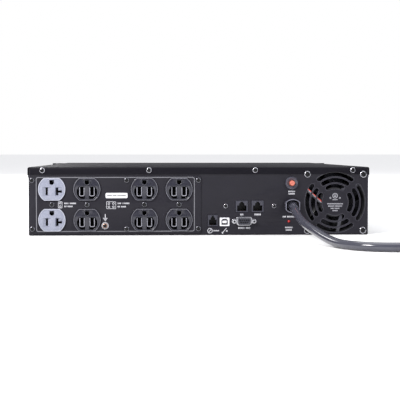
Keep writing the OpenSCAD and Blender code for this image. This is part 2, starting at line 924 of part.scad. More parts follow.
module batteries_front() {
    color("#3a3a3e") battery_row(battery_y[1], 1);
}

terminal_inset = 14;
terminal_z = 20;

module battery_terminals() {
    rear_face = battery_y[0] - eps;
    front_face = battery_y[1] + battery[1] + eps;
    color("#b8b090")
    for (x = battery_x, side = [terminal_inset, battery[0] - terminal_inset]) {
        block([x + side, rear_face - terminal[1], terminal_z],
            [x + side + terminal[0], rear_face, terminal_z + terminal[2]]);
        block([x + side, front_face, terminal_z],
            [x + side + terminal[0], front_face + terminal[1], terminal_z + terminal[2]]);
    }
}

// Leads of the pack: one between each pair, one along the tray, and two to the plug.
rear_lead_y = 20.8;
front_lead_y = 221;
module battery_leads() {
    left = battery_x[0] + terminal_inset;
    middle_left = battery_x[0] + battery[0] - terminal_inset;
    middle_right = battery_x[1] + terminal_inset;
    right = battery_x[1] + battery[0] - terminal_inset;
    level = terminal_z + 3;
    high = 72;
    color("#a02020") {
        tube([[middle_left + 3, rear_lead_y, level], [middle_left + 16, rear_lead_y, level + 12],
            [middle_right - 16, rear_lead_y, level + 12], [middle_right - 2, rear_lead_y, level]], wire_d, 8);
        tube([[middle_left + 3, front_lead_y, level], [middle_left + 16, front_lead_y, level + 12],
            [middle_right - 16, front_lead_y, level + 12], [middle_right - 2, front_lead_y, level]],
            wire_d, 8);
        tube([[right - 2, rear_lead_y, level], [right - 8, rear_lead_y, level + 4],
            [plug_x + 20, rear_lead_y, plug_z - 4], [plug_x + 14.5, rear_lead_y, plug_z - 4]], wire_d, 8);
    }
    color("#202020") {
        tube([[left + 3, rear_lead_y, level], [left + 20, rear_lead_y, level + 10],
            [left + 60, rear_lead_y, level + 24], [plug_x - 60, rear_lead_y, plug_z + 8],
            [plug_x - 24, rear_lead_y, plug_z + 4], [plug_x - 14.5, rear_lead_y, plug_z + 4]], wire_d, 8);
        tube([[right + 3, front_lead_y, level], [right + 7, front_lead_y, level + 20],
            [right + 7, front_lead_y, high - 5.5], [right + 7, front_lead_y - 1.2, high - 1.4],
            [right + 7, front_lead_y - 6, high], [right + 7, 60, high], [right + 6, 30, high],
            [right + 5, 25.5, high - 1], [right, 22.5, high - 6], [plug_x + 24, rear_lead_y, plug_z + 8],
            [plug_x + 20, rear_lead_y, plug_z + 4], [plug_x + 14.5, rear_lead_y, plug_z + 4]],
            wire_d, 8, [0, -0.2, 1]);
    }
}

module battery_plug() {
    color("#c8a030")
    block([plug_x - 14.4, bay_y[0] + 4.2, plug_z - 9.4], [plug_x + 14.4, battery_y[0] - 6.5, plug_z + 9.4]);
}

module bay_socket() {
    color("#c8a030")
    block([plug_x - 14.9, bay_y[0] - 14, plug_z - 9.9], [plug_x + 14.9, bay_y[0] + 3.9, plug_z + 9.9]);
}

// ---------------------------------------------------------------- front

// A bezel shell over x[0] to x[1], open at its back. Children are cut out of it.
module bezel_shell(x) {
    corner = 4;
    w = x[1] - x[0];
    h = bezel_z[1] - bezel_z[0];
    wall = bezel_wall;
    translate([(x[0] + x[1]) / 2, front_y, (bezel_z[0] + bezel_z[1]) / 2]) rotate([90, 0, 180])
        difference() {
            slab([w, h], corner, 0, bezel_d);
            slab([w - 2 * wall, h - 2 * wall], corner - wall, -1, bezel_d - wall - recess_d);
        }
}

vent_rows = 9;
vent_columns = 8;

module battery_cover() {
    w = cover_x_range[1] - cover_x_range[0];
    span = w - 44;
    pitch_x = span / vent_columns;
    pitch_z = 7;
    color("#1e1e22")
    difference() {
        bezel_shell(cover_x_range);
        for (i = [0 : vent_columns - 1], j = [0 : vent_rows - 1])
            translate([cover_x_range[0] + 22 + (i + 0.5) * pitch_x, front_y + bezel_d,
                43.5 + (j - (vent_rows - 1) / 2) * pitch_z])
                cube([pitch_x - 6, 12, 3], center = true);
    }
}

// Cuts the control end of the bezel from depth low to just past its face.
module control_cut(at, low) {
    at_front(at[0], at[1]) translate([0, 0, low]) linear_extrude(bezel_d + 1 - low) children();
}

module front_bezel() {
    face = bezel_d - recess_d;
    color("#1e1e22")
    difference() {
        bezel_shell(control_x);
        control_cut(display_at, face) rounded_rect([display_size[0] + 8, display_size[1] + 8], 3);
        control_cut(display_at, 10) rounded_rect(display_size, 1);
        control_cut(power_at, face) circle(power_button_r + 3);
        control_cut(power_at, 10) circle(power_button_r + gap);
        for (at = [display_button_at, mute_button_at]) {
            control_cut(at, face) rounded_rect([pill[0] + 6, pill[1] + 6], 4);
            control_cut(at, 10) rounded_rect([pill[0] + 2 * gap, pill[1] + 2 * gap], 3.5);
        }
        control_cut([192, 24], 10)
            for (i = [-1, 1], j = [-1, 1]) translate([i * 5, j * 5]) circle(1.3);
    }
}

module display_module() {
    face = bezel_d - recess_d;
    color("#101418")
    at_front(display_at[0], display_at[1]) {
        slab([display_size[0] - 0.4, display_size[1] - 0.4], 0.8, face - 5, face - 0.8);
        slab([display_size[0] + 6, display_size[1] + 6], 1, face - 12, face - 5);
    }
}

control_board_z = 12;

module control_board() {
    color("#2f5a3a")
    at_front(0, 0) {
        translate([-control_x[1] + 8, 8, control_board_z]) cube([control_w - 16, 64, board_t]);
        for (at = [[-197, 19], [-187, 19], [-197, 29], [-187, 29]])
            cylinder_at(at[0], at[1], 1.25, control_board_z + board_t, bezel_d - recess_d + 0.2);
    }
}

// A button's cap through the bezel, with a wider foot behind the wall.
module front_button(at) {
    face = bezel_d - recess_d;
    wall_back = bezel_d - recess_d - bezel_wall;
    foot_top = wall_back - gap;
    at_front(at[0], at[1]) {
        translate([0, 0, foot_top - eps]) linear_extrude(face + 1.2 - foot_top) children(0);
        translate([0, 0, foot_top - 2]) linear_extrude(2) children(1);
        cylinder_at(0, 0, 2, foot_top - 8, foot_top - 1.9);
    }
}

module power_button() {
    color("#2c2c32") front_button(power_at) {
        circle(power_button_r);
        circle(power_button_r + 1.4);
    }
}

module display_button() {
    color("#2c2c32") front_button(display_button_at) {
        rounded_rect(pill, 3.4);
        rounded_rect([pill[0] + 3, pill[1] + 3], 4);
    }
}

module mute_button() {
    color("#2c2c32") front_button(mute_button_at) {
        rounded_rect(pill, 3.4);
        rounded_rect([pill[0] + 3, pill[1] + 3], 4);
    }
}

// ---------------------------------------------------------------- rack ears

// side is 1 for the ear at +X and -1 for the ear at -X.
module rack_ear(side) {
    inner = case_w / 2;
    color("#2e2d33")
    scale([side, 1, 1]) difference() {
        union() {
            block([inner, front_y - ear_arm, ear_z[0] + 8], [inner + ear_t, front_y, 72]);
            block([inner, front_y - ear_t, ear_z[0]], [rack_w / 2, front_y, ear_z[1]]);
        }
        block([inner - 1, front_y - ear_arm - 1, ear_z[1] - skirt_h - 2],
            [inner + ear_t + 1, front_y - ear_t - 1, case_h + 4]);
        block([inner - 1, front_y - ear_t - 1, 72], [cover_x + 0.2, front_y + 1, case_h + 4]);
        for (y = ear_screw_y, z = ear_screw_z)
            translate([inner, y, z]) rotate([0, 90, 0]) cylinder(d = 3.5, h = 12, center = true);
        for (dz = [-1, 1])
            translate([rack_slot_span / 2, front_y, case_h / 2 + dz * rack_slot_rise / 2]) rotate([90, 0, 0])
                linear_extrude(12, center = true) {
                    square([slot_l - slot_w, slot_w], center = true);
                    for (end = [-1, 1]) translate([end * (slot_l - slot_w) / 2, 0]) circle(slot_w / 2);
                }
    }
}

module rack_ear_left() {
    rack_ear(-1);
}

module rack_ear_right() {
    rack_ear(1);
}

chassis_tray();
rear_panel();
front_wall();
bay_wall();
top_cover();
case_screws();
outlet_plate();
outlet_20a();
outlet_15a_left();
outlet_15a_middle();
outlet_15a_right();
outlet_contacts();
outlet_screws();
bank_label();
ground_screw();
network_jack_in();
network_jack_out();
shutdown_jack();
usb_port();
serial_shell();
serial_insert();
serial_jackscrews();
comm_board();
comm_screws();
fault_light();
breaker_body();
breaker_button();
strain_relief();
power_cord_lead();
power_cord_coil();
power_cord_tail();
cord_tie();
plug_body();
plug_blades();
fan_frame();
fan_rotor();
fan_screws();
fan_leads();
main_board();
transformer_core();
transformer_coil();
heat_sinks();
capacitors();
relays();
battery_tray();
batteries_rear();
batteries_front();
battery_terminals();
battery_leads();
battery_plug();
bay_socket();
battery_cover();
front_bezel();
display_module();
control_board();
power_button();
display_button();
mute_button();
rack_ear_left();
rack_ear_right();
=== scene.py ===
"""Looks of the rackmount UPS: camera, light and every visible surface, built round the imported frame.

Lengths in the modelling functions are millimetres, and MM turns them into Blender's metres.
On the rear panel a place is (x, z), x to the right and z up as seen from the rear.
"""

import math
import random

import bmesh
import bpy
from mathutils import Matrix, Vector


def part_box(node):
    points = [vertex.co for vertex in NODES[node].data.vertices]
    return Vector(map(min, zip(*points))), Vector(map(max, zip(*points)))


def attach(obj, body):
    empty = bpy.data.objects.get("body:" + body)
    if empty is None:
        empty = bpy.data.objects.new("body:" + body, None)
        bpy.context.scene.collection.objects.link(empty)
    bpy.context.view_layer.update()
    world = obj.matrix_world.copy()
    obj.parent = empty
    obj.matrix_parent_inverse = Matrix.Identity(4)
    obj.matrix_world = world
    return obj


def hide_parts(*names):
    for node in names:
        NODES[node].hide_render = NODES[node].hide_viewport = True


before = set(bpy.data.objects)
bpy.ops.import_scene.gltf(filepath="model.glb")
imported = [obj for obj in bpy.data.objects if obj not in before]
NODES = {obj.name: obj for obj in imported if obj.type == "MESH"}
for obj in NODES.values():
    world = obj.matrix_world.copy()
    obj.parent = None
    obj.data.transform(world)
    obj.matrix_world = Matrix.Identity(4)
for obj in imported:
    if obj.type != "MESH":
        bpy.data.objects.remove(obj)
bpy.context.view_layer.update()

MM = 0.001
CHASSIS = "chassis"


# ---------------------------------------------------------------- places, from the frame


def link(piece):
    """Puts an object in the scene."""
    bpy.context.scene.collection.objects.link(piece)
    return piece


def low(node):
    """Lowest corner of a node, in millimetres."""
    return [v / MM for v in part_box(node)[0]]


def high(node):
    """Highest corner of a node, in millimetres."""
    return [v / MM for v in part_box(node)[1]]


def middle(node):
    """Middle of a node's box, in millimetres."""
    return [(a + b) / 2 for a, b in zip(low(node), high(node))]


def size_of(node):
    """Width, depth and height of a node's box, in millimetres."""
    return [b - a for a, b in zip(low(node), high(node))]


def spot(node):
    """Middle of a node on the rear panel, as (x, z)."""
    x, _, z = middle(node)
    return x, z


REAR_Y = low("rear_panel")[1]
FRONT_Y = high("front_wall")[1]
CASE_TOP = high("top_cover")[2]

# Rear frame: x right, y up, z out of the panel. Front frame: the same, seen from the front.
REAR = Matrix(((1, 0, 0, 0), (0, 0, -1, REAR_Y * MM), (0, 1, 0, 0), (0, 0, 0, 1)))
FRONT = Matrix(((-1, 0, 0, 0), (0, 0, 1, FRONT_Y * MM), (0, 1, 0, 0), (0, 0, 0, 1)))
UPRIGHT = Matrix.Identity(4)


def shifted(base, x, y, z=0.0):
    """A copy of a frame moved by millimetres along its own axes."""
    return base @ Matrix.Translation(Vector((x, y, z)) * MM)


# ---------------------------------------------------------------- camera, light and floor

CAMERA_X = -45.5
CAMERA_BEHIND = 1178.7
CAMERA_HEIGHT = 105.3
CAMERA_YAW = 2.236
CAMERA_PITCH = 2.942
CAMERA_LENS = 83.8
FLOOR_REACH = 40.0


def make_camera():
    data = bpy.data.cameras.new("camera")
    data.lens = CAMERA_LENS
    data.sensor_width = 36.0
    data.clip_end = 100.0
    camera = link(bpy.data.objects.new("camera", data))
    camera.location = Vector((CAMERA_X, REAR_Y - CAMERA_BEHIND, CAMERA_HEIGHT)) * MM
    camera.rotation_euler = (math.radians(90 - CAMERA_PITCH), 0, math.radians(-CAMERA_YAW))
    bpy.context.scene.camera = camera


def area_light(name, place, aim, size, watts, colour=(1.0, 1.0, 1.0)):
    """A soft box at place, in metres, turned towards aim."""
    data = bpy.data.lights.new(name, "AREA")
    data.shape = "RECTANGLE"
    data.size, data.size_y = size
    data.energy = watts
    data.color = colour
    lamp = link(bpy.data.objects.new(name, data))
    lamp.location = place
    lamp.rotation_euler = (Vector(aim) - Vector(place)).to_track_quat("-Z", "Y").to_euler()


def make_lights():
    sun = bpy.data.lights.new("sky_panel", "SUN")
    sun.energy = 1.9
    sun.angle = math.radians(70)
    lamp = link(bpy.data.objects.new("sky_panel", sun))
    lamp.rotation_euler = (math.radians(-8), math.radians(6), 0)
    area_light("key_box", (-1.5, -1.7, 1.5), (0, -0.25, 0.05), (0.9, 0.7), 62, (1.0, 0.98, 0.97))
    area_light("fill_box", (1.6, -1.9, 0.9), (0.1, -0.25, 0.05), (0.9, 1.2), 16, (0.93, 0.95, 1.0))
    area_light("rim_box", (1.7, 1.4, 1.2), (0, 0.1, 0.05), (1.2, 0.8), 18)
    area_light("front_box", (-1.3, 2.2, 1.1), (0, 0.26, 0.05), (1.5, 0.9), 26)


def make_world():
    """A white surround for the camera, and a dimmer one that lights the object."""
    world = bpy.data.worlds.new("surround")
    bpy.context.scene.world = world
    world.use_nodes = True
    nodes, links = world.node_tree.nodes, world.node_tree.links
    nodes.clear()
    seen = nodes.new("ShaderNodeBackground")
    seen.inputs["Color"].default_value = (1.0, 1.0, 1.0, 1.0)
    seen.inputs["Strength"].default_value = 1.0
    light = nodes.new("ShaderNodeBackground")
    light.inputs["Color"].default_value = (0.93, 0.94, 1.0, 1.0)
    light.inputs["Strength"].default_value = 0.36
    path = nodes.new("ShaderNodeLightPath")
    mix = nodes.new("ShaderNodeMixShader")
    out = nodes.new("ShaderNodeOutputWorld")
    links.new(path.outputs["Is Camera Ray"], mix.inputs["Fac"])
    links.new(light.outputs["Background"], mix.inputs[1])
    links.new(seen.outputs["Background"], mix.inputs[2])
    links.new(mix.outputs["Shader"], out.inputs["Surface"])


def make_floor():
    mesh = bpy.data.meshes.new("floor")
    corners = [(x * FLOOR_REACH, y * FLOOR_REACH, 0) for x, y in ((-1, -1), (1, -1), (1, 1), (-1, 1))]
    mesh.from_pydata(corners, [], [(0, 1, 2, 3)])
    floor = link(bpy.data.objects.new("floor", mesh))
    paint = bpy.data.materials.new("floor_white")
    paint.use_nodes = True
    shader = paint.node_tree.nodes["Principled BSDF"]
    shader.inputs["Base Color"].default_value = (0.93, 0.93, 0.93, 1)
    shader.inputs["Roughness"].default_value = 0.9
    shader.inputs["Specular IOR Level"].default_value = 0.1
    mesh.materials.append(paint)


make_camera()
make_world()
make_lights()
make_floor()
bpy.context.scene.view_settings.view_transform = "Standard"


# ---------------------------------------------------------------- materials


def noise(tree, scale, detail, stretch=(1, 1, 1), seed=0.0):
    """A noise texture in the object's own space. scale is in features per metre."""
    nodes, links = tree.nodes, tree.links
    coords = nodes.new("ShaderNodeTexCoord")
    mapping = nodes.new("ShaderNodeMapping")
    mapping.inputs["Scale"].default_value = stretch
    mapping.inputs["Location"].default_value = (seed, seed * 0.7, seed * 1.3)
    texture = nodes.new("ShaderNodeTexNoise")
    texture.inputs["Scale"].default_value = scale
    texture.inputs["Detail"].default_value = detail
    links.new(coords.outputs["Object"], mapping.inputs["Vector"])
    links.new(mapping.outputs["Vector"], texture.inputs["Vector"])
    return texture.outputs["Fac"]


def ramp(tree, source, stops):
    """A colour ramp over source. stops are (position, colour)."""
    node = tree.nodes.new("ShaderNodeValToRGB")
    for _ in stops[2:]:
        node.color_ramp.elements.new(0.5)
    for element, (place, colour) in zip(node.color_ramp.elements, stops):
        element.position = place
        element.color = (*colour, 1)
    tree.links.new(source, node.inputs["Fac"])
    return node.outputs["Color"]


def spread(tree, source, least, most):
    """source, which runs over about 0.3 to 0.7, mapped to least..most."""
    node = tree.nodes.new("ShaderNodeMapRange")
    node.inputs["From Min"].default_value = 0.3
    node.inputs["From Max"].default_value = 0.7
    node.inputs["To Min"].default_value = least
    node.inputs["To Max"].default_value = most
    tree.links.new(source, node.inputs["Value"])
    return node.outputs["Result"]


def scaled(colour, by):
    return tuple(min(1.0, c * by) for c in colour)


def surface(name, colour, rough, metal=0.0, vary=0.12, rough_vary=0.06, grain=1500.0, bump=0.0,
            bump_mm=0.05, stretch=(1, 1, 1), blotch=25.0, **sockets):
    """A material with mottled colour, uneven roughness and a fine bump.

    grain and blotch are features per metre of the bump and of the colour. Any other
    Principled socket is given by its name, with _ for a space.
    """
    material = bpy.data.materials.new(name)
    material.use_nodes = True
    tree = material.node_tree
    shader = tree.nodes["Principled BSDF"]
    tone = noise(tree, blotch, 4.0, seed=len(name) * 0.37)
    stops = [(0.3, scaled(colour, 1 - vary)), (0.7, scaled(colour, 1 + vary))]
    tree.links.new(ramp(tree, tone, stops), shader.inputs["Base Color"])
    texture = noise(tree, grain, 3.0, stretch)
    roughness = spread(tree, texture, rough - rough_vary, rough + rough_vary)
    tree.links.new(roughness, shader.inputs["Roughness"])
    shader.inputs["Metallic"].default_value = metal
    for socket, value in sockets.items():
        shader.inputs[socket.replace("_", " ")].default_value = value
    if bump:
        node = tree.nodes.new("ShaderNodeBump")
        node.inputs["Strength"].default_value = bump
        node.inputs["Distance"].default_value = bump_mm * MM
        tree.links.new(texture, node.inputs["Height"])
        tree.links.new(node.outputs["Normal"], shader.inputs["Normal"])
    return material


# Finishes that several materials share.
COAT = {"grain": 1100, "bump": 0.5, "bump_mm": 0.12}
METAL = {"metal": 1.0, "grain": 900, "bump": 0.2}
INK = {"grain": 1600, "bump": 0.2}
SLEEK = {"grain": 700, "bump": 0.12}
MOULDED = {"grain": 700, "bump": 0.15}
DRAWN = {"grain": 500, "bump": 0.1}

PANEL = surface("panel_powder_coat", (0.0125, 0.0115, 0.0175), 0.44, vary=0.07, Specular_IOR_Level=0.26,
                **COAT)
COVER = surface("cover_powder_coat", (0.0075, 0.0068, 0.0105), 0.48, vary=0.07, Specular_IOR_Level=0.09,
                **COAT)
CASE = surface("case_powder_coat", (0.013, 0.012, 0.016), 0.46, vary=0.08, Specular_IOR_Level=0.26,
               **COAT)
ZINC_BRIGHT = surface("bright_zinc", (0.42, 0.42, 0.46), 0.2, **METAL)
ZINC_BLACK = surface("black_zinc", (0.15, 0.15, 0.17), 0.18, **METAL)
# Painted shade: the near-black crown laid over each screw head.
SCREW_PAINTED_SHADE = surface("screw_middle", (0.008, 0.008, 0.010), 0.3, metal=0.3, grain=900, bump=0.2)
OUTLET_GREY = surface("outlet_grey_nylon", (0.27, 0.285, 0.36), 0.26, vary=0.05, Coat_Weight=0.4,
                      Coat_Roughness=0.12, **SLEEK)
OUTLET_BLACK = surface("outlet_black_nylon", (0.018, 0.018, 0.029), 0.2, vary=0.08, Coat_Weight=0.3,
                       Coat_Roughness=0.1, **SLEEK)
# Painted highlight: light grey on the black outlets' slot shrouds, for the gleam along their edges.
SHROUD_HIGHLIGHT = surface("outlet_lip_nylon", (0.27, 0.27, 0.31), 0.25, vary=0.08, **SLEEK)
# Painted highlight: a lighter lip round each black outlet face.
BLACK_LIP_HIGHLIGHT = surface("outlet_black_edge", (0.16, 0.16, 0.19), 0.22, vary=0.15, **SLEEK)
# Painted highlight: a lighter lip round each grey outlet face.
GREY_LIP_HIGHLIGHT = surface("outlet_grey_edge", (0.54, 0.56, 0.63), 0.24, vary=0.05, **SLEEK)
# Painted shade: near-black floors down in the outlet wells and pin holes.
WELL_PAINTED_SHADE = surface("moulded_inside", (0.0012, 0.0012, 0.0015), 0.9, vary=0.2, grain=700, bump=0.2,
               Specular_IOR_Level=0.05)
COPPER = surface("contact_copper", (0.72, 0.33, 0.2), 0.3, metal=1.0, grain=600, bump=0.2)
INK_GREY = surface("ink_grey", (0.17, 0.17, 0.19), 0.5, vary=0.1, **INK)
INK_BLACK = surface("ink_black", (0.12, 0.12, 0.13), 0.55, vary=0.1, **INK)
LABEL = surface("label_film", (0.86, 0.87, 0.9), 0.35, vary=0.02, grain=300, bump=0.1)
JACK = surface("jack_nylon", (0.034, 0.034, 0.050), 0.3, vary=0.08, **MOULDED)
BLACK = surface("black_nylon", (0.006, 0.006, 0.007), 0.4, vary=0.15, Specular_IOR_Level=0.25, **MOULDED)
TIN = surface("tin_plate", (0.45, 0.45, 0.48), 0.2, metal=1.0, grain=500, bump=0.2)
USB_WHITE = surface("usb_white", (0.74, 0.74, 0.78), 0.3, vary=0.03, grain=700, bump=0.1)
BREAKER_RED = surface("breaker_red", (0.60, 0.17, 0.12), 0.3, vary=0.08, **MOULDED)
LIGHT_RED = surface("light_red", (0.55, 0.03, 0.03), 0.12, vary=0.1, grain=300, Coat_Weight=0.5)
CORD = surface("cord_pvc", (0.056, 0.057, 0.076), 0.18, vary=0.1, grain=420, bump=0.25, bump_mm=0.2,
               Coat_Weight=0.6, Coat_Roughness=0.1)
STRAP = surface("strap_weave", (0.018, 0.018, 0.022), 0.85, vary=0.35, blotch=900, grain=1400, bump=0.9,
                bump_mm=0.25, stretch=(1, 0.25, 1), Sheen_Weight=0.4)
PLUG = surface("plug_pvc", (0.030, 0.030, 0.038), 0.34, vary=0.1, grain=420, bump=0.3, bump_mm=0.15)
GLAND = surface("gland_nylon", (0.060, 0.060, 0.080), 0.18, vary=0.1, Coat_Weight=0.4,
                Coat_Roughness=0.15, **SLEEK)
# Painted highlight: a lighter ring on the gland's front rim.
GLAND_RIM_HIGHLIGHT = surface("worn_nylon_edge", (0.20, 0.20, 0.25), 0.2, vary=0.1, **SLEEK)
# Painted highlight: the fan's struts in a lighter copy of its nylon.
STRUT_HIGHLIGHT = surface("fan_strut_nylon", (0.075, 0.075, 0.095), 0.3, vary=0.1, **MOULDED)
# Painted highlight: lighter strips along the sheet's edges, round the grille slots and down the chassis
# sides.
EDGE_STRIP_HIGHLIGHT = surface("bare_sheet_edge", (0.075, 0.073, 0.095), 0.3, metal=0.2, vary=0.2, grain=900,
                    bump=0.2)
FAN = surface("fan_nylon", (0.020, 0.020, 0.024), 0.36, vary=0.12, **MOULDED)
ROTOR = surface("rotor_nylon", (0.016, 0.016, 0.020), 0.28, vary=0.12, **MOULDED)
WIRE_RED = surface("wire_red", (0.62, 0.06, 0.04), 0.3, vary=0.1, **DRAWN)
# Painted highlight: the second fan lead in pale grey, for the light line along it.
LEAD_HIGHLIGHT = surface("wire_pale", (0.35, 0.35, 0.38), 0.3, vary=0.1, **DRAWN)
INK_PALE = surface("ink_pale", (0.62, 0.62, 0.66), 0.5, vary=0.1, **INK)
INK_DIM = surface("ink_dim", (0.42, 0.42, 0.46), 0.5, vary=0.1, **INK)
GROUND_BRASS = surface("ground_brass", (0.42, 0.26, 0.20), 0.24, **METAL)
BOARD = surface("solder_mask", (0.02, 0.085, 0.035), 0.35, vary=0.25, blotch=160, grain=500, bump=0.3)
STEEL = surface("galvanised_steel", (0.34, 0.34, 0.36), 0.38, metal=1.0, vary=0.22, blotch=70, grain=260,
                bump=0.12)
CORE = surface("laminations", (0.16, 0.16, 0.17), 0.42, metal=0.8, vary=0.3, grain=900, bump=0.6,
               bump_mm=0.2, stretch=(0.05, 1, 0.05))
TAPE = surface("winding_tape", (0.52, 0.26, 0.06), 0.4, vary=0.2, grain=500, bump=0.4, bump_mm=0.2)
SLEEVE = surface("capacitor_sleeve", (0.015, 0.022, 0.05), 0.25, vary=0.1, grain=500, bump=0.15)
ALUMINIUM = surface("extruded_aluminium", (0.55, 0.56, 0.58), 0.36, metal=1.0, grain=700, bump=0.3,
                    stretch=(1, 0.04, 1))
RELAY = surface("relay_case", (0.55, 0.52, 0.42), 0.42, vary=0.05, **MOULDED)
BATTERY = surface("battery_abs", (0.030, 0.030, 0.034), 0.5, vary=0.12, grain=800, bump=0.35, bump_mm=0.1)
PACK_PLUG = surface("connector_nylon", (0.50, 0.30, 0.03), 0.4, vary=0.08, **MOULDED)
WIRE_SET = surface("battery_wire", (0.40, 0.035, 0.03), 0.32, vary=0.1, **DRAWN)
BEZEL = surface("bezel_abs", (0.014, 0.014, 0.017), 0.52, vary=0.1, grain=1300, bump=0.55, bump_mm=0.12)
BUTTON = surface("button_abs", (0.045, 0.045, 0.052), 0.42, vary=0.08, grain=1300, bump=0.3, bump_mm=0.08)
GLASS = surface("display_glass", (0.006, 0.012, 0.02), 0.06, vary=0.2, blotch=60, Coat_Weight=0.6)


# ---------------------------------------------------------------- meshes

CREASE = 32
RIM_ANGLE = 50
WELD = 1e-6


def add_object(name, mesh, materials, body):
    """Links a mesh as a piece that rides on a body."""
    piece = link(bpy.data.objects.new(name, mesh))
    for material in materials:
        mesh.materials.append(material)
    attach(piece, body)
    return piece


def soften(mesh):
    """Smooth shading, with a crease wherever faces meet at more than CREASE degrees."""
    for polygon in mesh.polygons:
        polygon.use_smooth = True
    mesh.set_sharp_from_angle(angle=math.radians(CREASE))


def closed(build):
    """The mesh of a bmesh, which is used up, with its faces turned outward."""
    bmesh.ops.recalc_face_normals(build, faces=build.faces)
    mesh = bpy.data.meshes.new("made")
    build.to_mesh(mesh)
    build.free()
    return mesh


def evaluated(holder):
    """The mesh that an object shows, with its modifiers. The object is used up."""
    bpy.context.view_layer.update()
    mesh = bpy.data.meshes.new_from_object(holder.evaluated_get(bpy.context.evaluated_depsgraph_get()))
    bpy.data.objects.remove(holder)
    return mesh


def circle(r, cx=0.0, cy=0.0, steps=48):
    turn = 2 * math.pi / steps
    return [(cx + r * math.cos(i * turn), cy + r * math.sin(i * turn)) for i in range(steps)]


def arc(r, start, end, steps, cx=0.0, cy=0.0):
    """Points from start to end, in degrees."""
    angles = [math.radians(start + (end - start) * i / steps) for i in range(steps + 1)]
    return [(cx + r * math.cos(a), cy + r * math.sin(a)) for a in angles]


def rounded(w, h, r, cx=0.0, cy=0.0, steps=6):
    """A rectangle with round corners."""
    dx, dy = w / 2 - r, h / 2 - r
    corners = [(dx, dy, 0), (-dx, dy, 90), (-dx, -dy, 180), (dx, -dy, 270)]
    return [p for x, y, a in corners for p in arc(r, a, a + 90, steps, cx + x, cy + y)]


def moved(points, dx, dy):
    return [(x + dx, y + dy) for x, y in points]


def turned(points, degrees):
    c, s = math.cos(math.radians(degrees)), math.sin(math.radians(degrees))
    return [(c * x - s * y, s * x + c * y) for x, y in points]


def sheet_mesh(outlines, bottom, top, bevel=0.0, steps=2):
    """A flat solid with the outlines' even-odd shape, between two heights, with rounded rims.

    Several outlines that don't touch make several solids, and one inside another is a hole.
    """
    curve = bpy.data.curves.new("outline", "CURVE")
    curve.dimensions = "2D"
    curve.fill_mode = "BOTH"
    curve.extrude = ((top - bottom) / 2 - bevel) * MM
    curve.bevel_depth = bevel * MM
    curve.bevel_resolution = steps
    curve.offset = -bevel * MM
    for points in outlines:
        spline = curve.splines.new("POLY")
        spline.points.add(len(points) - 1)
        for point, (x, y) in zip(spline.points, points):
            point.co = (x * MM, y * MM, 0, 1)
        spline.use_cyclic_u = True
    mesh = evaluated(link(bpy.data.objects.new("outline", curve)))
    bpy.data.curves.remove(curve)
    mesh.transform(Matrix.Translation((0, 0, (bottom + top) / 2 * MM)))
    weld = bmesh.new()
    weld.from_mesh(mesh)
    bmesh.ops.remove_doubles(weld, verts=weld.verts, dist=WELD)
    bmesh.ops.recalc_face_normals(weld, faces=weld.faces)
    weld.to_mesh(mesh)
    weld.free()
    return mesh


def lathe_mesh(profile, steps=40):
    """A profile of (radius, height) turned about z. It closes itself on the axis."""
    build = bmesh.new()
    rings = []
    for r, z in profile:
        if r < WELD:
            rings.append([build.verts.new((0, 0, z * MM))])
        else:
            rings.append([build.verts.new((x * MM, y * MM, z * MM)) for x, y in circle(r, steps=steps)])
    for below, above in zip(rings, rings[1:]):
        for i in range(steps):
            j = (i + 1) % steps
            corners = [ring[k % len(ring)] for ring, k in ((below, i), (below, j), (above, j), (above, i))]
            face = list(dict.fromkeys(corners))
            if len(face) > 2:
                build.faces.new(face)
    for ring, flip in ((rings[0], True), (rings[-1], False)):
        if len(ring) > 1:
            build.faces.new(ring[::-1] if flip else ring)
    return closed(build)


def box_mesh(low_corner, high_corner, bevel=0.0, steps=2):
    """A box with rounded edges."""
    build = bmesh.new()
    bmesh.ops.create_cube(build, size=1.0)
    size = [(b - a) * MM for a, b in zip(low_corner, high_corner)]
    centre = [(a + b) / 2 * MM for a, b in zip(low_corner, high_corner)]
    matrix = Matrix.Translation(centre) @ Matrix.Diagonal((*size, 1))
    bmesh.ops.transform(build, matrix=matrix, verts=build.verts)
    if bevel:
        bmesh.ops.bevel(build, geom=build.edges[:], offset=bevel * MM, segments=steps, profile=0.5,
                        affect="EDGES", clamp_overlap=True)
    mesh = bpy.data.meshes.new("box")
    build.to_mesh(mesh)
    build.free()
    return mesh


def carve(mesh, cutter):
    """mesh less cutter. Both are used up."""
    whole = link(bpy.data.objects.new("whole", mesh))
    tool = link(bpy.data.objects.new("tool", cutter))
    modifier = whole.modifiers.new("cut", "BOOLEAN")
    modifier.operation = "DIFFERENCE"
    modifier.solver = "EXACT"
    modifier.object = tool
    result = evaluated(whole)
    bpy.data.objects.remove(tool)
    return result


def rim(mesh, width):
    """Rounds every edge that is sharper than RIM_ANGLE degrees."""
    holder = link(bpy.data.objects.new("rim", mesh))
    modifier = holder.modifiers.new("bevel", "BEVEL")
    modifier.width = width * MM
    modifier.segments = 2
    modifier.limit_method = "ANGLE"
    modifier.angle_limit = math.radians(RIM_ANGLE)
    return evaluated(holder)


def islands(node):
    """The boxes, in millimetres, of a node's separate solids, as (low, high) pairs."""
    weld = bmesh.new()
    weld.from_mesh(NODES[node].data)
    bmesh.ops.remove_doubles(weld, verts=weld.verts, dist=WELD)
    todo = set(weld.verts)
    found = []
    while todo:
        stack = [todo.pop()]
        points = []
        while stack:
            vert = stack.pop()
            points.append(vert.co / MM)
            near = {edge.other_vert(vert) for edge in vert.link_edges} & todo
            todo -= near
            stack.extend(near)
        found.append(tuple([pick(p[i] for p in points) for i in range(3)] for pick in (min, max)))
    weld.free()
    return sorted(found)


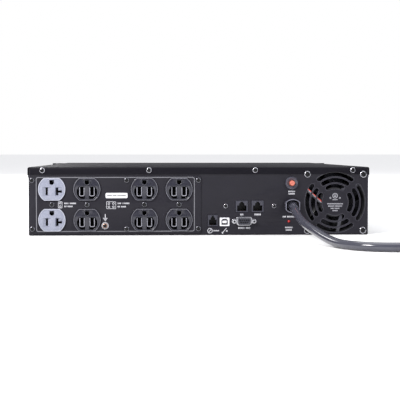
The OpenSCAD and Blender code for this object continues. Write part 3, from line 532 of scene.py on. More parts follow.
def ring_mesh(profile, steps=40):
    """A closed profile of (radius, height) turned about z."""
    build = bmesh.new()
    rings = []
    for r, z in profile:
        rings.append([build.verts.new((x * MM, y * MM, z * MM)) for x, y in circle(r, steps=steps)])
    for below, above in zip(rings, rings[1:] + rings[:1]):
        for i in range(steps):
            j = (i + 1) % steps
            build.faces.new((below[i], below[j], above[j], above[i]))
    return closed(build)


def raw_mesh(points, faces):
    """A mesh from points in millimetres."""
    mesh = bpy.data.meshes.new("raw")
    mesh.from_pydata([[v * MM for v in p] for p in points], [], faces)
    return mesh


def taper(mesh, start, end, scale):
    """Narrows a mesh in x and y, from 1 at height start to scale at height end."""
    for vert in mesh.vertices:
        along = min(1.0, max(0.0, (vert.co.z / MM - start) / (end - start)))
        factor = 1 + (scale - 1) * along
        vert.co.x *= factor
        vert.co.y *= factor
    return mesh


class Part:
    """One piece gathered from several meshes, each with its own material and place."""

    def __init__(self, name, body=CHASSIS):
        self.name = name
        self.body = body
        self.build = bmesh.new()
        self.materials = []

    def add(self, mesh, material, place=REAR):
        """Adds a mesh, which is used up, at a place."""
        mesh.transform(place)
        if material not in self.materials:
            self.materials.append(material)
        index = self.materials.index(material)
        for polygon in mesh.polygons:
            polygon.material_index = index
        soften(mesh)
        self.build.from_mesh(mesh)
        bpy.data.meshes.remove(mesh)
        return self

    def sheet(self, outlines, bottom, top, material, place=REAR, bevel=0.0, steps=2):
        """Adds a flat solid, as sheet_mesh makes it."""
        return self.add(sheet_mesh(outlines, bottom, top, bevel, steps), material, place)

    def finish(self, *nodes):
        """Makes the piece, in place of the CAD nodes named."""
        mesh = bpy.data.meshes.new(self.name)
        self.build.to_mesh(mesh)
        self.build.free()
        piece = add_object(self.name, mesh, self.materials, self.body)
        if nodes:
            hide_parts(*nodes)
        return piece


# ---------------------------------------------------------------- mains cord

CORD_D = 10.0
LEAD_ROUTE = [(117.8, -255, 37.2), (117.8, -266, 36.8), (117.8, -284, 32), (119.5, -302, 26.2),
              (122.5, -322, 20.8), (127, -344, 16.2), (132.5, -368, 12), (138.5, -392, 8),
              (145, -415, 5.6), (153.5, -434, 5.2), (166, -449, 5.2), (183, -458, 5.2), (203, -462, 5.4),
              (225, -463, 5.7), (250, -463, 6), (278, -463, 6), (308, -463, 6)]
TAIL_ROUTE = [(368, -403, 36), (368, -390, 35.4), (368, -374, 31.6), (368, -356, 24.6), (368, -338, 18),
              (368, -322, 14.4), (368, -308, 13.2), (368, -298, 13)]
COIL_X, COIL_Y = 308, -403
COIL_SWEEP = 2610
# Where the cord shifts from one place in the winding to the next: degrees, then radius and height after it.
COIL_SHIFTS = [(300, 50, 6), (600, 50, 16), (900, 60, 16), (1200, 60, 26), (1500, 50, 26), (1800, 50, 36),
               (2460, 60, 36)]


def smoothstep(t):
    t = min(1.0, max(0.0, t))
    return t * t * (3 - 2 * t)


def coil_points():
    """The winding, from its lowest outer turn to its top, in 10 degree steps."""
    points = []
    for sweep in range(10, COIL_SWEEP, 10):
        r, z = 60.0, 6.0
        for start, next_r, next_z in COIL_SHIFTS:
            part = smoothstep((sweep - start) / 60)
            r += (next_r - r) * part
            z += (next_z - z) * part
        angle = math.radians(sweep - 90)
        points.append((COIL_X + r * math.cos(angle), COIL_Y + r * math.sin(angle), z))
    return points


def eased(points, steps):
    """A smooth line through points, with steps points for each span."""
    knots = [Vector(p) for p in points]
    line = []
    for i in range(len(knots) - 1):
        a, b, c, d = knots[max(i - 1, 0)], knots[i], knots[i + 1], knots[min(i + 2, len(knots) - 1)]
        for k in range(steps):
            t = k / steps
            line.append(0.5 * (2 * b + (c - a) * t + (2 * a - 5 * b + 4 * c - d) * t * t
                               + (3 * b - a - 3 * c + d) * t * t * t))
    return line + [knots[-1]]


def make_cord():
    line = eased(LEAD_ROUTE, 3) + [Vector(p) for p in coil_points()] + eased(TAIL_ROUTE, 3)
    curve = bpy.data.curves.new("mains_cord", "CURVE")
    curve.dimensions = "3D"
    curve.bevel_depth = CORD_D / 2 * MM
    curve.bevel_resolution = 6
    curve.use_fill_caps = True
    spline = curve.splines.new("POLY")
    spline.points.add(len(line) - 1)
    for point, place in zip(spline.points, line):
        point.co = (*(place * MM), 1)
    spline.use_smooth = True
    curve.materials.append(CORD)
    piece = link(bpy.data.objects.new("mains_cord", curve))
    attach(piece, CHASSIS)
    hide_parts("power_cord_lead", "power_cord_coil", "power_cord_tail")
    return piece


def loft_mesh(rings):
    """A closed skin over rings of points, all with the same count, with flat ends."""
    build = bmesh.new()
    loops = [[build.verts.new(Vector(p) * MM) for p in ring] for ring in rings]
    for a, b in zip(loops, loops[1:]):
        for i in range(len(a)):
            j = (i + 1) % len(a)
            build.faces.new((a[i], a[j], b[j], b[i]))
    build.faces.new(loops[0][::-1])
    build.faces.new(loops[-1])
    return closed(build)


def squircle(half_w, half_h, power, z, steps=56):
    """A ring between an ellipse, at power 2, and a rectangle."""
    points = []
    for i in range(steps):
        a = 2 * math.pi * i / steps
        c, s = math.cos(a), math.sin(a)
        x = half_w * math.copysign(abs(c) ** (2 / power), c)
        y = half_h * math.copysign(abs(s) ** (2 / power), s)
        points.append((x, y, z))
    return points


def make_tie():
    """The strap round the coil: a band that follows the turns."""
    a, b = low("cord_tie"), high("cord_tie")
    size = (b[0] - a[0], b[2] - a[2])
    centre = ((a[0] + b[0]) / 2, (a[2] + b[2]) / 2)
    outer = rounded(*size, 3.2)
    inner = rounded(size[0] - 1.6, size[1] - 1.6, 2.6)
    build = bmesh.new()
    loops = []
    for i in range(9):
        y = a[1] + (b[1] - a[1]) * i / 8
        run = y - COIL_Y
        lean = COIL_X - centre[0] - math.sqrt((COIL_X - centre[0]) ** 2 - run * run)
        edge = 0.25 if i in (0, 8) else 0
        for outline, grow in ((outer, -edge), (inner, edge)):
            ring = []
            for x, z in outline:
                scale = 1 + grow / max(1.0, math.hypot(x, z))
                place = Vector((centre[0] + x * scale + lean, y, centre[1] + z * scale))
                ring.append(build.verts.new(place * MM))
            loops.append(ring)
    count = len(outer)
    for k in range(count):
        j = (k + 1) % count
        for i in range(8):
            for side in (0, 1):
                here, there = loops[2 * i + side], loops[2 * i + 2 + side]
                build.faces.new((here[k], here[j], there[j], there[k]))
        for end in (0, 16):
            build.faces.new((loops[end][k], loops[end][j], loops[end + 1][j], loops[end + 1][k]))
    return Part("cord_strap").add(closed(build), STRAP, UPRIGHT).finish("cord_tie")


def make_plug():
    """The moulded plug: a ribbed neck that swells into a rounded head."""
    a, b = low("plug_body"), high("plug_body")
    half_w, half_h = (b[0] - a[0]) / 2, (b[2] - a[2]) / 2
    place = Matrix(((1, 0, 0, (a[0] + b[0]) / 2 * MM), (0, 0, 1, a[1] * MM),
                    (0, 1, 0, (a[2] + b[2]) / 2 * MM), (0, 0, 0, 1)))
    depth = b[1] - a[1]
    rings = [squircle(5.6, 5.6, 2, 0)]
    for i in range(5):
        r = 6.1 + i * 0.32
        rings += [squircle(r, r, 2, 1.2 + i * 4), squircle(r + 0.1, r + 0.1, 2, 3.2 + i * 4),
                  squircle(r - 0.7, r - 0.7, 2, 3.9 + i * 4), squircle(r - 0.7, r - 0.7, 2, 4.7 + i * 4)]
    rings += [squircle(8.4, 8.2, 2.2, 22.5), squircle(10.8, 9.6, 2.6, 26), squircle(13.0, 11.2, 3, 29)]
    rings += [squircle(half_w - 0.5, half_h - 0.6, 3.6, 32.5), squircle(half_w, half_h, 4, 35.5),
              squircle(half_w, half_h, 4.5, depth - 1.0),
              squircle(half_w - 0.3, half_h - 0.3, 4.5, depth - 0.3),
              squircle(half_w - 1.0, half_h - 1.0, 4.5, depth)]
    return Part("plug_moulding").add(loft_mesh(rings), PLUG, place).finish("plug_body")


cord_piece = make_cord()


# ---------------------------------------------------------------- screws

# Head diameter and height, then shank diameter and length.
CASE_SCREW = (7.2, 2.2, 3.2, 2.2)
OUTLET_SCREW = (6.8, 2.0, 3, 5)
FAN_BOLT = (8.9, 2.8, 4.2, 9)
GROUND_STUD = (6.2, 2.0, 3.8, 8)
COMM_SCREW = (5.8, 1.8, 2.9, 20)


def cross_cutter(reach, width, bottom, top):
    """A cross-shaped punch for a screw's recess."""
    half = width / 2
    quarter = [(reach, -half), (reach, half), (half, half)]
    points = [p for turn in (0, 90, 180, 270) for p in turned(quarter, turn)]
    return sheet_mesh([points], bottom, top)


def dome(head_d, head_h, angles):
    """Points of a pan head's rounded top, at angles up from its shoulder."""
    shoulder = head_h * 0.4
    return [(head_d / 2 * math.cos(a) ** 0.6, shoulder + (head_h - shoulder) * math.sin(a))
            for a in (math.radians(d) for d in angles)]


def screw_meshes(head_d, head_h, shank_d, shank_l):
    """A pan-head screw, its seat on z = 0, and the near-black middle of its head, which is painted shade,
    both with a cross recess.
    """
    r = head_d / 2
    profile = [(0, -shank_l), (shank_d / 2 - 0.3, -shank_l), (shank_d / 2, 0.3 - shank_l), (shank_d / 2, 0),
               (r - 0.15, 0), (r, 0.15), *dome(head_d, head_h - 0.06, (0, 15, 30, 45, 60, 75, 86)),
               (0, head_h - 0.06)]
    middle = [(0, head_h * 0.15), *dome(head_d, head_h, (52, 60, 75, 86)), (0, head_h)]
    middle.insert(1, (middle[1][0], head_h * 0.15))
    reach, width = head_d * 0.33, head_d * 0.2
    deep, shallow = [cross_cutter(reach, width, head_h * part, head_h + 1) for part in (0.1, 0.3)]
    return carve(lathe_mesh(profile, 32), deep), carve(lathe_mesh(middle, 32), shallow)


def screws(name, places, size, material, node):
    """A screw at each place, a matrix, in place of a node. size is head_d, head_h, shank_d, shank_l."""
    turns = random.Random(len(places))
    part = Part(name)
    for place in places:
        turn = Matrix.Rotation(math.radians(turns.uniform(0, 90)), 4, "Z")
        # The second mesh is the head's near-black crown: painted shade.
        for mesh, look in zip(screw_meshes(*size), (material, SCREW_PAINTED_SHADE)):
            mesh.transform(turn)
            part.add(mesh, look, place)
    part.finish(node)


def rear_places(node, head_h):
    """Frames at a node's screws on the rear panel, at their seats."""
    places = []
    for a, b in islands(node):
        lift = REAR_Y - a[1] - head_h
        places.append(shifted(REAR, (a[0] + b[0]) / 2, (a[2] + b[2]) / 2, lift))
    return places


def side_frame(side, x, y, z):
    """A frame on a side of the case: z out of it, y up."""
    axes = Matrix(((0, 0, side, 0), (side, 0, 0, 0), (0, 1, 0, 0), (0, 0, 0, 1)))
    return Matrix.Translation(Vector((x, y, z)) * MM) @ axes


def case_screw_places(head_h):
    places = []
    for a, b in islands("case_screws"):
        x, y, z = [(p + q) / 2 for p, q in zip(a, b)]
        if b[0] - a[0] > b[1] - a[1] - 1 and abs(y - REAR_Y) < 10:
            places.append(shifted(REAR, x, z, REAR_Y - a[1] - head_h))
        elif x > 0:
            places.append(side_frame(1, b[0] - head_h, y, z))
        else:
            places.append(side_frame(-1, a[0] + head_h, y, z))
    return places


# ---------------------------------------------------------------- rear sheet metal

SHEET = 1.2
COVER_SHEET = 1.0
BEND_R = 2.2
GRILLE_RINGS = ((17.0, 23.5), (25.5, 31.2), (33.2, 38.8))
GRILLE_SPOKE = 6.3
OUTLET_HOLES_X = (-164.5, -47.5)
OUTLET_HOLE_Z = 39.15
FAN_SCREW = 35.75
FAN_X, FAN_Z = spot("fan_frame")


def grille_slots(grow=0.0):
    """Twelve curved slots with round ends, about the origin, each wider by grow all round."""
    slots = []
    for inner, outer in GRILLE_RINGS:
        mid, half = (inner + outer) / 2, (outer - inner) / 2
        reach = 45 - math.degrees(math.asin((GRILLE_SPOKE / 2 + half) / mid))
        ends = arc(mid, reach, -reach, 1)
        outline = arc(outer + grow, -reach, reach, 16)[1:-1]
        outline += arc(half + grow, reach, reach + 180, 8, *ends[0])
        outline += arc(inner - grow, reach, -reach, 14)[1:-1]
        outline += arc(half + grow, 180 - reach, 360 - reach, 8, *ends[1])
        slots += [turned(outline, quadrant) for quadrant in (0, 90, 180, 270)]
    return slots


def channel(half_w, bottom, top, r, thick):
    """The section of an upside-down U with round bends, as a closed outline."""
    def side(w, t, radius):
        return [(w, bottom), *arc(radius, 0, 90, 5, w - radius, t - radius)]
    outer = side(half_w, top, r)
    inner = side(half_w - thick, top - thick, r - thick)
    return outer + [(-x, y) for x, y in outer[::-1]] + [(-x, y) for x, y in inner] + inner[::-1]


def d_outline(w, h, r=2.0, lean=1.2, steps=5):
    """A D connector's outline, wider at the top, with round corners."""
    corners = [(w / 2, h / 2), (-w / 2, h / 2), (-w / 2 + lean, -h / 2), (w / 2 - lean, -h / 2)]
    points = []
    for i, corner in enumerate(corners):
        here = Vector(corner)
        before = (Vector(corners[i - 1]) - here).normalized()
        after = (Vector(corners[(i + 1) % 4]) - here).normalized()
        opening = before.angle(after)
        centre = here + (before + after).normalized() * (r / math.sin(opening / 2))
        start = here + before * (r / math.tan(opening / 2)) - centre
        end = here + after * (r / math.tan(opening / 2)) - centre
        first = math.degrees(math.atan2(start.y, start.x))
        sweep = (math.degrees(math.atan2(end.y, end.x)) - first) % 360
        points += arc(r, first, first + sweep, steps, *centre)
    return points


def gland_outline(w, h, arch=12.7, steps=10):
    """An outline with a flat on each side and an arch above and below."""
    centre = h / 2 - arch
    half = math.degrees(math.asin(w / 2 / arch))
    top = arc(arch, 90 - half, 90 + half, steps, 0, centre)
    return top + [(-x, -y) for x, y in top]


def make_rear_panel():
    x_low, _, z_low = low("rear_panel")
    x_high, _, z_high = high("rear_panel")
    outline = [(x_low, z_low), (x_high, z_low), (x_high, z_high), (x_low, z_high)]
    holes = [rounded(81, 71, 1.5, x, OUTLET_HOLE_Z) for x in OUTLET_HOLES_X]
    for jack, _, _ in JACKS:
        width, _, tall = size_of(jack)
        holes.append(rounded(width + 0.3, tall + 0.3, 0.5, *spot(jack)))
    holes.append(rounded(12.7, 11.1, 0.6, *spot("usb_port")))
    holes.append(moved(d_outline(18.6, 9.8), *spot("serial_shell")))
    holes.append(circle(6.1, *spot("breaker_button")))
    holes.append(circle(8.1, *spot("strain_relief")))
    holes.append(circle(1.7, *spot("fault_light"), steps=16))
    holes += [moved(slot, FAN_X, FAN_Z) for slot in grille_slots()]
    part = Part("rear_panel_sheet").sheet([outline, *holes], -SHEET, 0, PANEL, bevel=0.32)
    # A lighter ring round each grille slot: painted highlight on the slot edges.
    for outer, inner in zip(grille_slots(0.42), grille_slots(0.06)):
        part.sheet([moved(outer, FAN_X, FAN_Z), moved(inner, FAN_X, FAN_Z)], -0.3, 0.02, EDGE_STRIP_HIGHLIGHT)
    part.finish("rear_panel")


def make_cover():
    """The cover: a channel over the case, a lip down the rear panel, and the two rear corners."""
    half = high("top_cover")[0]
    top = CASE_TOP
    skirt = low("top_cover")[2]
    lip_bottom = top - 9.1
    join = 3.0
    lip_half = half - 3.0
    depth = high("top_cover")[1] - REAR_Y
    part = Part("top_cover_sheet")
    roof = sheet_mesh([channel(half, skirt, top, BEND_R, COVER_SHEET)], -depth, -join)
    part.add(rim(roof, 0.25), COVER)
    y0 = REAR_Y - COVER_SHEET
    across = Matrix(((0, 0, 1, 0), (1, 0, 0, 0), (0, 1, 0, 0), (0, 0, 0, 1)))
    section = [(y0, lip_bottom), *arc(BEND_R, 180, 90, 5, y0 + BEND_R, top - BEND_R), (REAR_Y + join, top),
               (REAR_Y + join, top - COVER_SHEET),
               *arc(BEND_R - COVER_SHEET, 90, 180, 5, y0 + BEND_R, top - BEND_R), (REAR_Y, lip_bottom)]
    lip = sheet_mesh([section], -lip_half, lip_half)
    lip.transform(across)
    bites = [moved(slot, FAN_X, FAN_Z) for slot in grille_slots()[8:]]
    bites += [circle(5.2, FAN_X + side * FAN_SCREW, FAN_Z + FAN_SCREW, 32) for side in (-1, 1)]
    punch = sheet_mesh(bites, -2, 4)
    punch.transform(REAR)
    part.add(rim(carve(lip, punch), 0.25), COVER, UPRIGHT)
    corner = [(half, skirt + 3.2), *arc(BEND_R, 0, 90, 5, half - BEND_R, top - BEND_R),
              (lip_half + 0.35, top), (lip_half + 0.35, top - COVER_SHEET),
              *arc(BEND_R - COVER_SHEET, 90, 0, 5, half - BEND_R, top - BEND_R),
              (half - COVER_SHEET, skirt + 3.2)]
    for side in (1, -1):
        outline = [(side * x, y) for x, y in corner]
        part.add(rim(sheet_mesh([outline], -join, COVER_SHEET), 0.2), COVER)
    part.finish("top_cover")


def make_chassis():
    """The tray: floor and sides bent from one sheet, with the side vents punched."""
    half = high("chassis_tray")[0]
    top = high("chassis_tray")[2]
    depth = high("chassis_tray")[1] - REAR_Y
    section = [(x, top - y) for x, y in channel(half, 0, top, 1.6, SHEET)]
    tray = sheet_mesh([section], -depth, 0)
    vents = [rounded(4, 44, 2, -160 + i * 9, 40, steps=4) for i in range(14)]
    for side in (1, -1):
        punch = sheet_mesh(vents, -6, 6)
        punch.transform(REAR.inverted() @ side_frame(1, side * half, 0, 0))
        tray = carve(tray, punch)
    part = Part("chassis_sheet").add(rim(tray, 0.25), CASE)
    # Lighter strips down the rear edges of the side walls: painted highlight.
    for side in (-1, 1):
        edge = side * (half - SHEET / 2)
        part.add(box_mesh((edge - 0.35, 6, -0.3), (edge + 0.35, top - 9, 0.03), bevel=0.05), EDGE_STRIP_HIGHLIGHT)
    part.finish("chassis_tray")


# ---------------------------------------------------------------- outlets

PLATE_T = REAR_Y - low("outlet_plate")[1]
FACE_TOP = REAR_Y - low("outlet_20a")[1]
FACE_R = 17.1
FACE_HALF = 14.2
OUTLET_PITCH = 38.9
OUTLETS = ("outlet_20a", "outlet_15a_left", "outlet_15a_middle", "outlet_15a_right")
OUTLET_Z = spot("outlet_20a")[1]
GROUND_UP = 8.6
SLOT_X = 6.35
NECK = 3.0


def face_outline(grow=0.0, steps=20):
    """A round face cut flat above and below."""
    r, half = FACE_R + grow, FACE_HALF + grow
    reach = math.degrees(math.asin(half / r))
    return arc(r, -reach, reach, steps) + arc(r, 180 - reach, 180 + reach, steps)


def ground_outline(r, up):
    """A hole that is round below and square above, at the ground pin's place."""
    return moved(arc(r, 180, 360, 14) + [(r, up), (-r, up)], 0, GROUND_UP)


def pocket_outline(side):
    """The hollow beside the middle web: narrow above, wide below, cut off by the rim."""
    points = [(2.7, -12.0), (7.6, -12.0), (10.4, -9.8), (12.3, -6.4), (12.8, -3.2), (12.4, -0.2),
              (11.2, 0.8), (10.6, 3.2), (3.6, 3.2), (2.7, 2.2)]
    return [(side * x, y) for x, y in points]


def shroud_outline(side):
    """A U-shaped wall round one slot, open at the top."""
    outer = [(-3.3, 2.3), *arc(1.9, 180, 270, 5, -1.4, -6.9), *arc(1.9, 270, 360, 5, 1.4, -6.9), (3.3, 2.3)]
    inner = [(2.35, 2.3), *arc(1.2, 360, 270, 4, 1.15, -6.7), *arc(1.2, 270, 180, 4, -1.15, -6.7),
             (-2.35, 2.3)]
    return moved(outer + inner, side * SLOT_X, 0)


def slot_outline(side):
    return rounded(1.2, 7, 0.2, side * SLOT_X, -3, steps=2)


def make_body(part, x, z, material):
    """The block behind the plate, with a hollow behind each face."""
    outer = rounded(33, 70, 3, x, z)
    hollows = [rounded(27, 24, 2, x, z + side * OUTLET_PITCH / 2) for side in (-1, 1)]
    part.sheet([outer, *hollows], -20, -NECK, material)
    part.sheet([outer], -25, -20, material, bevel=0.6)


def black_face(part, place):
    part.sheet([face_outline(), face_outline(-1.5)], -NECK, FACE_TOP - 0.12, OUTLET_BLACK, place,
               bevel=0.45)
    # Lighter lip on the face's rim: painted highlight.
    part.add(edge_ring(-0.22), BLACK_LIP_HIGHLIGHT, place)
    hollows = [pocket_outline(side) for side in (-1, 1)] + [ground_outline(3.2, 3.4)]
    part.sheet([face_outline(-1.45), *hollows], -0.6, FACE_TOP - 0.8, OUTLET_BLACK, place, bevel=0.3)
    # Near-black floor under the pockets, round the slots: painted shade.
    floor = [face_outline(-1.45), slot_outline(-1), slot_outline(1), ground_outline(2.6, 2.8)]
    part.sheet(floor, -NECK, -0.7, WELL_PAINTED_SHADE, place, bevel=0.1)
    # Light grey shrouds in a black outlet: painted highlight.
    for side in (-1, 1):
        part.sheet([shroud_outline(side)], -0.7, FACE_TOP - 0.5, SHROUD_HIGHLIGHT, place, bevel=0.22)
    collar = [ground_outline(3.9, 3.7), ground_outline(2.6, 2.8)]
    part.sheet(collar, -0.7, FACE_TOP - 0.2, OUTLET_BLACK, place, bevel=0.28)


def edge_ring(grow):
    """The raised lip round a face, which the faces give a colour lighter than their own: a painted
    highlight.
    """
    return sheet_mesh([face_outline(grow), face_outline(grow - 0.55)], FACE_TOP - 0.8, FACE_TOP, bevel=0.2)


WELL_LEFT = [(-11.4, 2.9), (-0.9, 2.9), (-0.9, -8.4), (-11.4, -8.4)]
WELL_RIGHT = [(4.2, 2.9), (13.4, 2.9), (13.4, -8.4), (4.2, -8.4)]
T_SLOT = [(5.2, 1.9), (8.0, 1.9), (8.0, -1.5), (12.4, -1.5), (12.4, -4.3), (8.0, -4.3), (8.0, -7.2),
          (5.2, -7.2)]


def funnel_left():
    """Sloping walls down to the plain slot."""
    inner = [(-7.8, 1.9), (-5.1, 1.9), (-5.1, -7.2), (-7.8, -7.2)]
    points = [(x, y, FACE_TOP - 0.05) for x, y in WELL_LEFT] + [(x, y, FACE_TOP - 2.2) for x, y in inner]
    return points, [(i, i + 4, (i + 1) % 4 + 4, (i + 1) % 4) for i in range(4)]


def funnel_right():
    """Sloping walls down to the slot with a sideways arm."""
    points = [(x, y, FACE_TOP - 0.05) for x, y in WELL_RIGHT] + [(x, y, FACE_TOP - 2.2) for x, y in T_SLOT]
    faces = [(0, 3, 11, 4), (0, 4, 5, 1), (5, 6, 1), (6, 7, 1), (1, 7, 8, 2), (2, 8, 9), (2, 9, 10),
             (2, 10, 11, 3)]
    return points, faces


def grey_face(part, place):
    wells = [WELL_LEFT, WELL_RIGHT, ground_outline(2.9, 3.1)]
    part.sheet([face_outline(), face_outline(-1.6)], -NECK, FACE_TOP - 0.12, OUTLET_GREY, place,
               bevel=0.5)
    # Lighter lip on the face's rim: painted highlight.
    part.add(edge_ring(-0.22), GREY_LIP_HIGHLIGHT, place)
    collar = [ground_outline(3.6, 3.6), ground_outline(2.9, 3.1)]
    part.sheet(collar, -0.7, FACE_TOP - 0.2, OUTLET_GREY, place, bevel=0.2)
    part.sheet([face_outline(-1.55), *wells], 0.2, FACE_TOP - 0.35, OUTLET_GREY, place, bevel=0.2)
    for points, faces in (funnel_left(), funnel_right()):
        part.add(raw_mesh([(x, y, z - 0.5) for x, y, z in points], faces), OUTLET_GREY, place)
    # Near-black floor under the wells, round the slots: painted shade.
    floor = [face_outline(-1.55), slot_outline(-1), slot_outline(1), ground_outline(2.6, 2.8)]
    part.sheet(floor, -NECK, FACE_TOP - 2.75, WELL_PAINTED_SHADE, place, bevel=0.05)


def make_outlets():
    for node in OUTLETS:
        x = spot(node)[0]
        part = Part(node + "_moulding")
        grey = node == "outlet_20a"
        make_body(part, x, OUTLET_Z, OUTLET_GREY if grey else BLACK)
        for side in (-1, 1):
            place = shifted(REAR, x, OUTLET_Z + side * OUTLET_PITCH / 2)
            (grey_face if grey else black_face)(part, place)
        part.finish(node)


def make_outlet_plate():
    w, _, h = size_of("outlet_plate")
    outline = rounded(w, h, 3, *spot("outlet_plate"))
    holes = []
    for node in OUTLETS:
        for side in (-1, 1):
            holes.append(moved(face_outline(0.2), spot(node)[0], OUTLET_Z + side * OUTLET_PITCH / 2))
    part = Part("outlet_plate_sheet")
    part.sheet([outline, *holes], 0, PLATE_T, PANEL, bevel=0.3).finish("outlet_plate")


# ---------------------------------------------------------------- ports


# Each modular socket: its node, the width of its opening and its count of contacts.
JACKS = (("network_jack_in", 11.8, 8), ("network_jack_out", 11.8, 8), ("shutdown_jack", 9.6, 6))
CONTACT_PITCH = 1.02
PIN_PITCH = 2.77
PIN_ROW = 1.42


def jack_opening(w):
    """A modular socket's opening, with its latch notch upward."""
    half, step, notch = w / 2, w * 0.27, w * 0.135
    return [(-half, -5.9), (half, -5.9), (half, 1.1), (step, 1.1), (step, 4.0), (notch, 4.0), (notch, 5.9),
            (-notch, 5.9), (-notch, 4.0), (-step, 4.0), (-step, 1.1), (-half, 1.1)]


def make_jack(node, inside_w, wires):
    size = size_of(node)[::2]
    place = shifted(REAR, *spot(node))
    part = Part(node + "_body")
    opening = jack_opening(inside_w)
    part.sheet([rounded(*size, 0.5), opening], -2.0, 0.6, JACK, place, bevel=0.28)
    part.sheet([rounded(size[0] - 0.4, size[1] - 0.4, 0.4), opening], -14, -2.0, BLACK, place)
    part.sheet([rounded(*size, 0.5)], -16, -14, BLACK, place)
    for i in range(wires):
        x = (i - (wires - 1) / 2) * CONTACT_PITCH
        wire = box_mesh((x - 0.2, -0.2, -12), (x + 0.2, 0.2, -5.5), bevel=0.1, steps=1)
        wire.transform(shifted(UPRIGHT, 0, -4.6) @ Matrix.Rotation(math.radians(-14), 4, "X"))
        part.add(wire, COPPER, place)
    part.finish(node)


def make_usb():
    x, z = spot("usb_port")
    place = shifted(REAR, x, z)
    opening = [(-4.2, -3.9), (4.2, -3.9), (4.2, 2.3), (2.6, 3.9), (-2.6, 3.9), (-4.2, 2.3)]
    lining = [(px * 0.91, py * 0.91) for px, py in opening]
    part = Part("usb_port_body")
    part.sheet([rounded(12.4, 10.8, 0.7), opening], -2, 0.6, USB_WHITE, place, bevel=0.25)
    part.sheet([opening, lining], -9, 0.35, TIN, place)
    part.sheet([rounded(12.4, 10.8, 0.7)], -16, -9, BLACK, place)
    part.sheet([rounded(12, 10.4, 0.7), opening], -9, -2, BLACK, place)
    part.add(box_mesh((-2.8, -1.7, -9), (2.8, 1.5, -0.4), bevel=0.3), USB_WHITE, place)
    part.finish("usb_port")


def make_serial():
    place = shifted(REAR, *spot("serial_shell"))
    pitch = high("serial_jackscrews")[0] - low("serial_jackscrews")[0] - 5.6
    shell = Part("serial_shell_body")
    shell.sheet([d_outline(20.9, 11.1, 2.8), d_outline(17.4, 8.6)], 0, 0.8, TIN, place, bevel=0.3)
    for side in (-1, 1):
        lug = [circle(3.2, side * pitch / 2, 0, 32), circle(1.5, side * pitch / 2, 0, 20)]
        shell.sheet(lug, 0, 0.75, TIN, place, bevel=0.2)
    shell.sheet([d_outline(18.6, 9.8), d_outline(17.2, 8.4, 1.6)], 0.4, 5.5, TIN, place, bevel=0.3)
    shell.finish("serial_shell")
    holes = [circle(0.95, i * PIN_PITCH, PIN_ROW, 16) for i in (-2, -1, 0, 1, 2)]
    holes += [circle(0.95, i * PIN_PITCH, -PIN_ROW, 16) for i in (-1.5, -0.5, 0.5, 1.5)]
    insert = Part("serial_insert_body")
    insert.sheet([d_outline(17.1, 8.3, 1.6), *holes], 1.5, 4.6, OUTLET_BLACK, place, bevel=0.15)
    # Near-black below the insert's face, seen down the pin holes: painted shade.
    insert.sheet([d_outline(17.1, 8.3, 1.6)], -10, 1.5, WELL_PAINTED_SHADE, place)
    insert.sheet([rounded(24, 11, 0.6)], -16, -10, BLACK, place)
    insert.finish("serial_insert")
    nuts = Part("serial_nuts")
    for side in (-1, 1):
        nut = [circle(2.8, steps=6), circle(1.15, steps=20)]
        nuts.sheet(nut, 0.8, 5.2, TIN, shifted(place, side * pitch / 2, 0), bevel=0.25)
    nuts.finish("serial_jackscrews")


def make_light():
    place = shifted(REAR, *spot("fault_light"))
    lens = [(0, -8), (1.5, -8), (1.5, 0.4), *arc(1.5, 20, 80, 3, cy=0.4), (0, 1.9)]
    Part("fault_light_lens").add(lathe_mesh(lens, 24), LIGHT_RED, place).finish("fault_light")


def make_breaker():
    place = shifted(REAR, *spot("breaker_button"))
    bezel = [(8.3, 0), (8.3, 0.9), (8.0, 1.3), (7.7, 2.9), (7.2, 3.5), (6.6, 3.6), (5.4, 3.0), (4.9, 3.0),
             (4.3, 2.8), (4.15, -10), (5.9, -10), (5.9, 0)]
    part = Part("breaker_housing")
    part.add(ring_mesh(bezel), GLAND, place)
    part.add(box_mesh((-7, -14, -30), (7, 14, -10), bevel=0.8), BLACK, place)
    part.finish("breaker_body")
    reach = REAR_Y - low("breaker_button")[1]
    profile = [(0, -8), (3.8, -8), (3.9, -7.8), (3.9, 1.2), (3.3, 1.6), (3.3, reach - 1.0),
               (3.1, reach - 0.4), (2.8, reach - 0.1), (2.3, reach), (2.1, reach - 0.15),
               (1.0, reach - 0.1), (0, reach - 0.08)]
    cap = Part("breaker_cap", "breaker_button")
    cap.add(lathe_mesh(profile), BREAKER_RED, place).finish("breaker_button")


def make_gland():
    """The gland: a tapered cup with a flat on each side, and the collar that grips the cord."""
    place = shifted(REAR, *spot("strain_relief"))
    part = Part("strain_relief_gland")
    cup = sheet_mesh([gland_outline(19.2, 18.6), gland_outline(15.8, 15.2)], 0, 9.4, bevel=0.6, steps=3)
    part.add(taper(cup, 0, 9.4, 0.96), GLAND, place)
    # Lighter ring on the cup's front rim: painted highlight.
    part.sheet([gland_outline(17.9, 17.3), gland_outline(16.2, 15.6)], 9.0, 9.5, GLAND_RIM_HIGHLIGHT, place,
               bevel=0.2)
    part.sheet([gland_outline(16.4, 15.8), circle(5.1)], 0.2, 2.6, BLACK, place, bevel=0.2)
    collar = [(7.0, 1.0), (6.7, 4.6), (6.3, 5.7), (5.8, 6.0), (5.15, 5.6), (5.1, 1.0)]
    part.add(ring_mesh(collar), GLAND, place)
    sleeve = [(7.9, 0.2), (7.9, -1.2), (9.3, -2.0), (9.1, -4.0), (6.2, -18), (5.1, -18), (5.1, 0.2)]
    part.add(ring_mesh(sleeve), BLACK, place)
    return part.finish("strain_relief")


# ---------------------------------------------------------------- fan


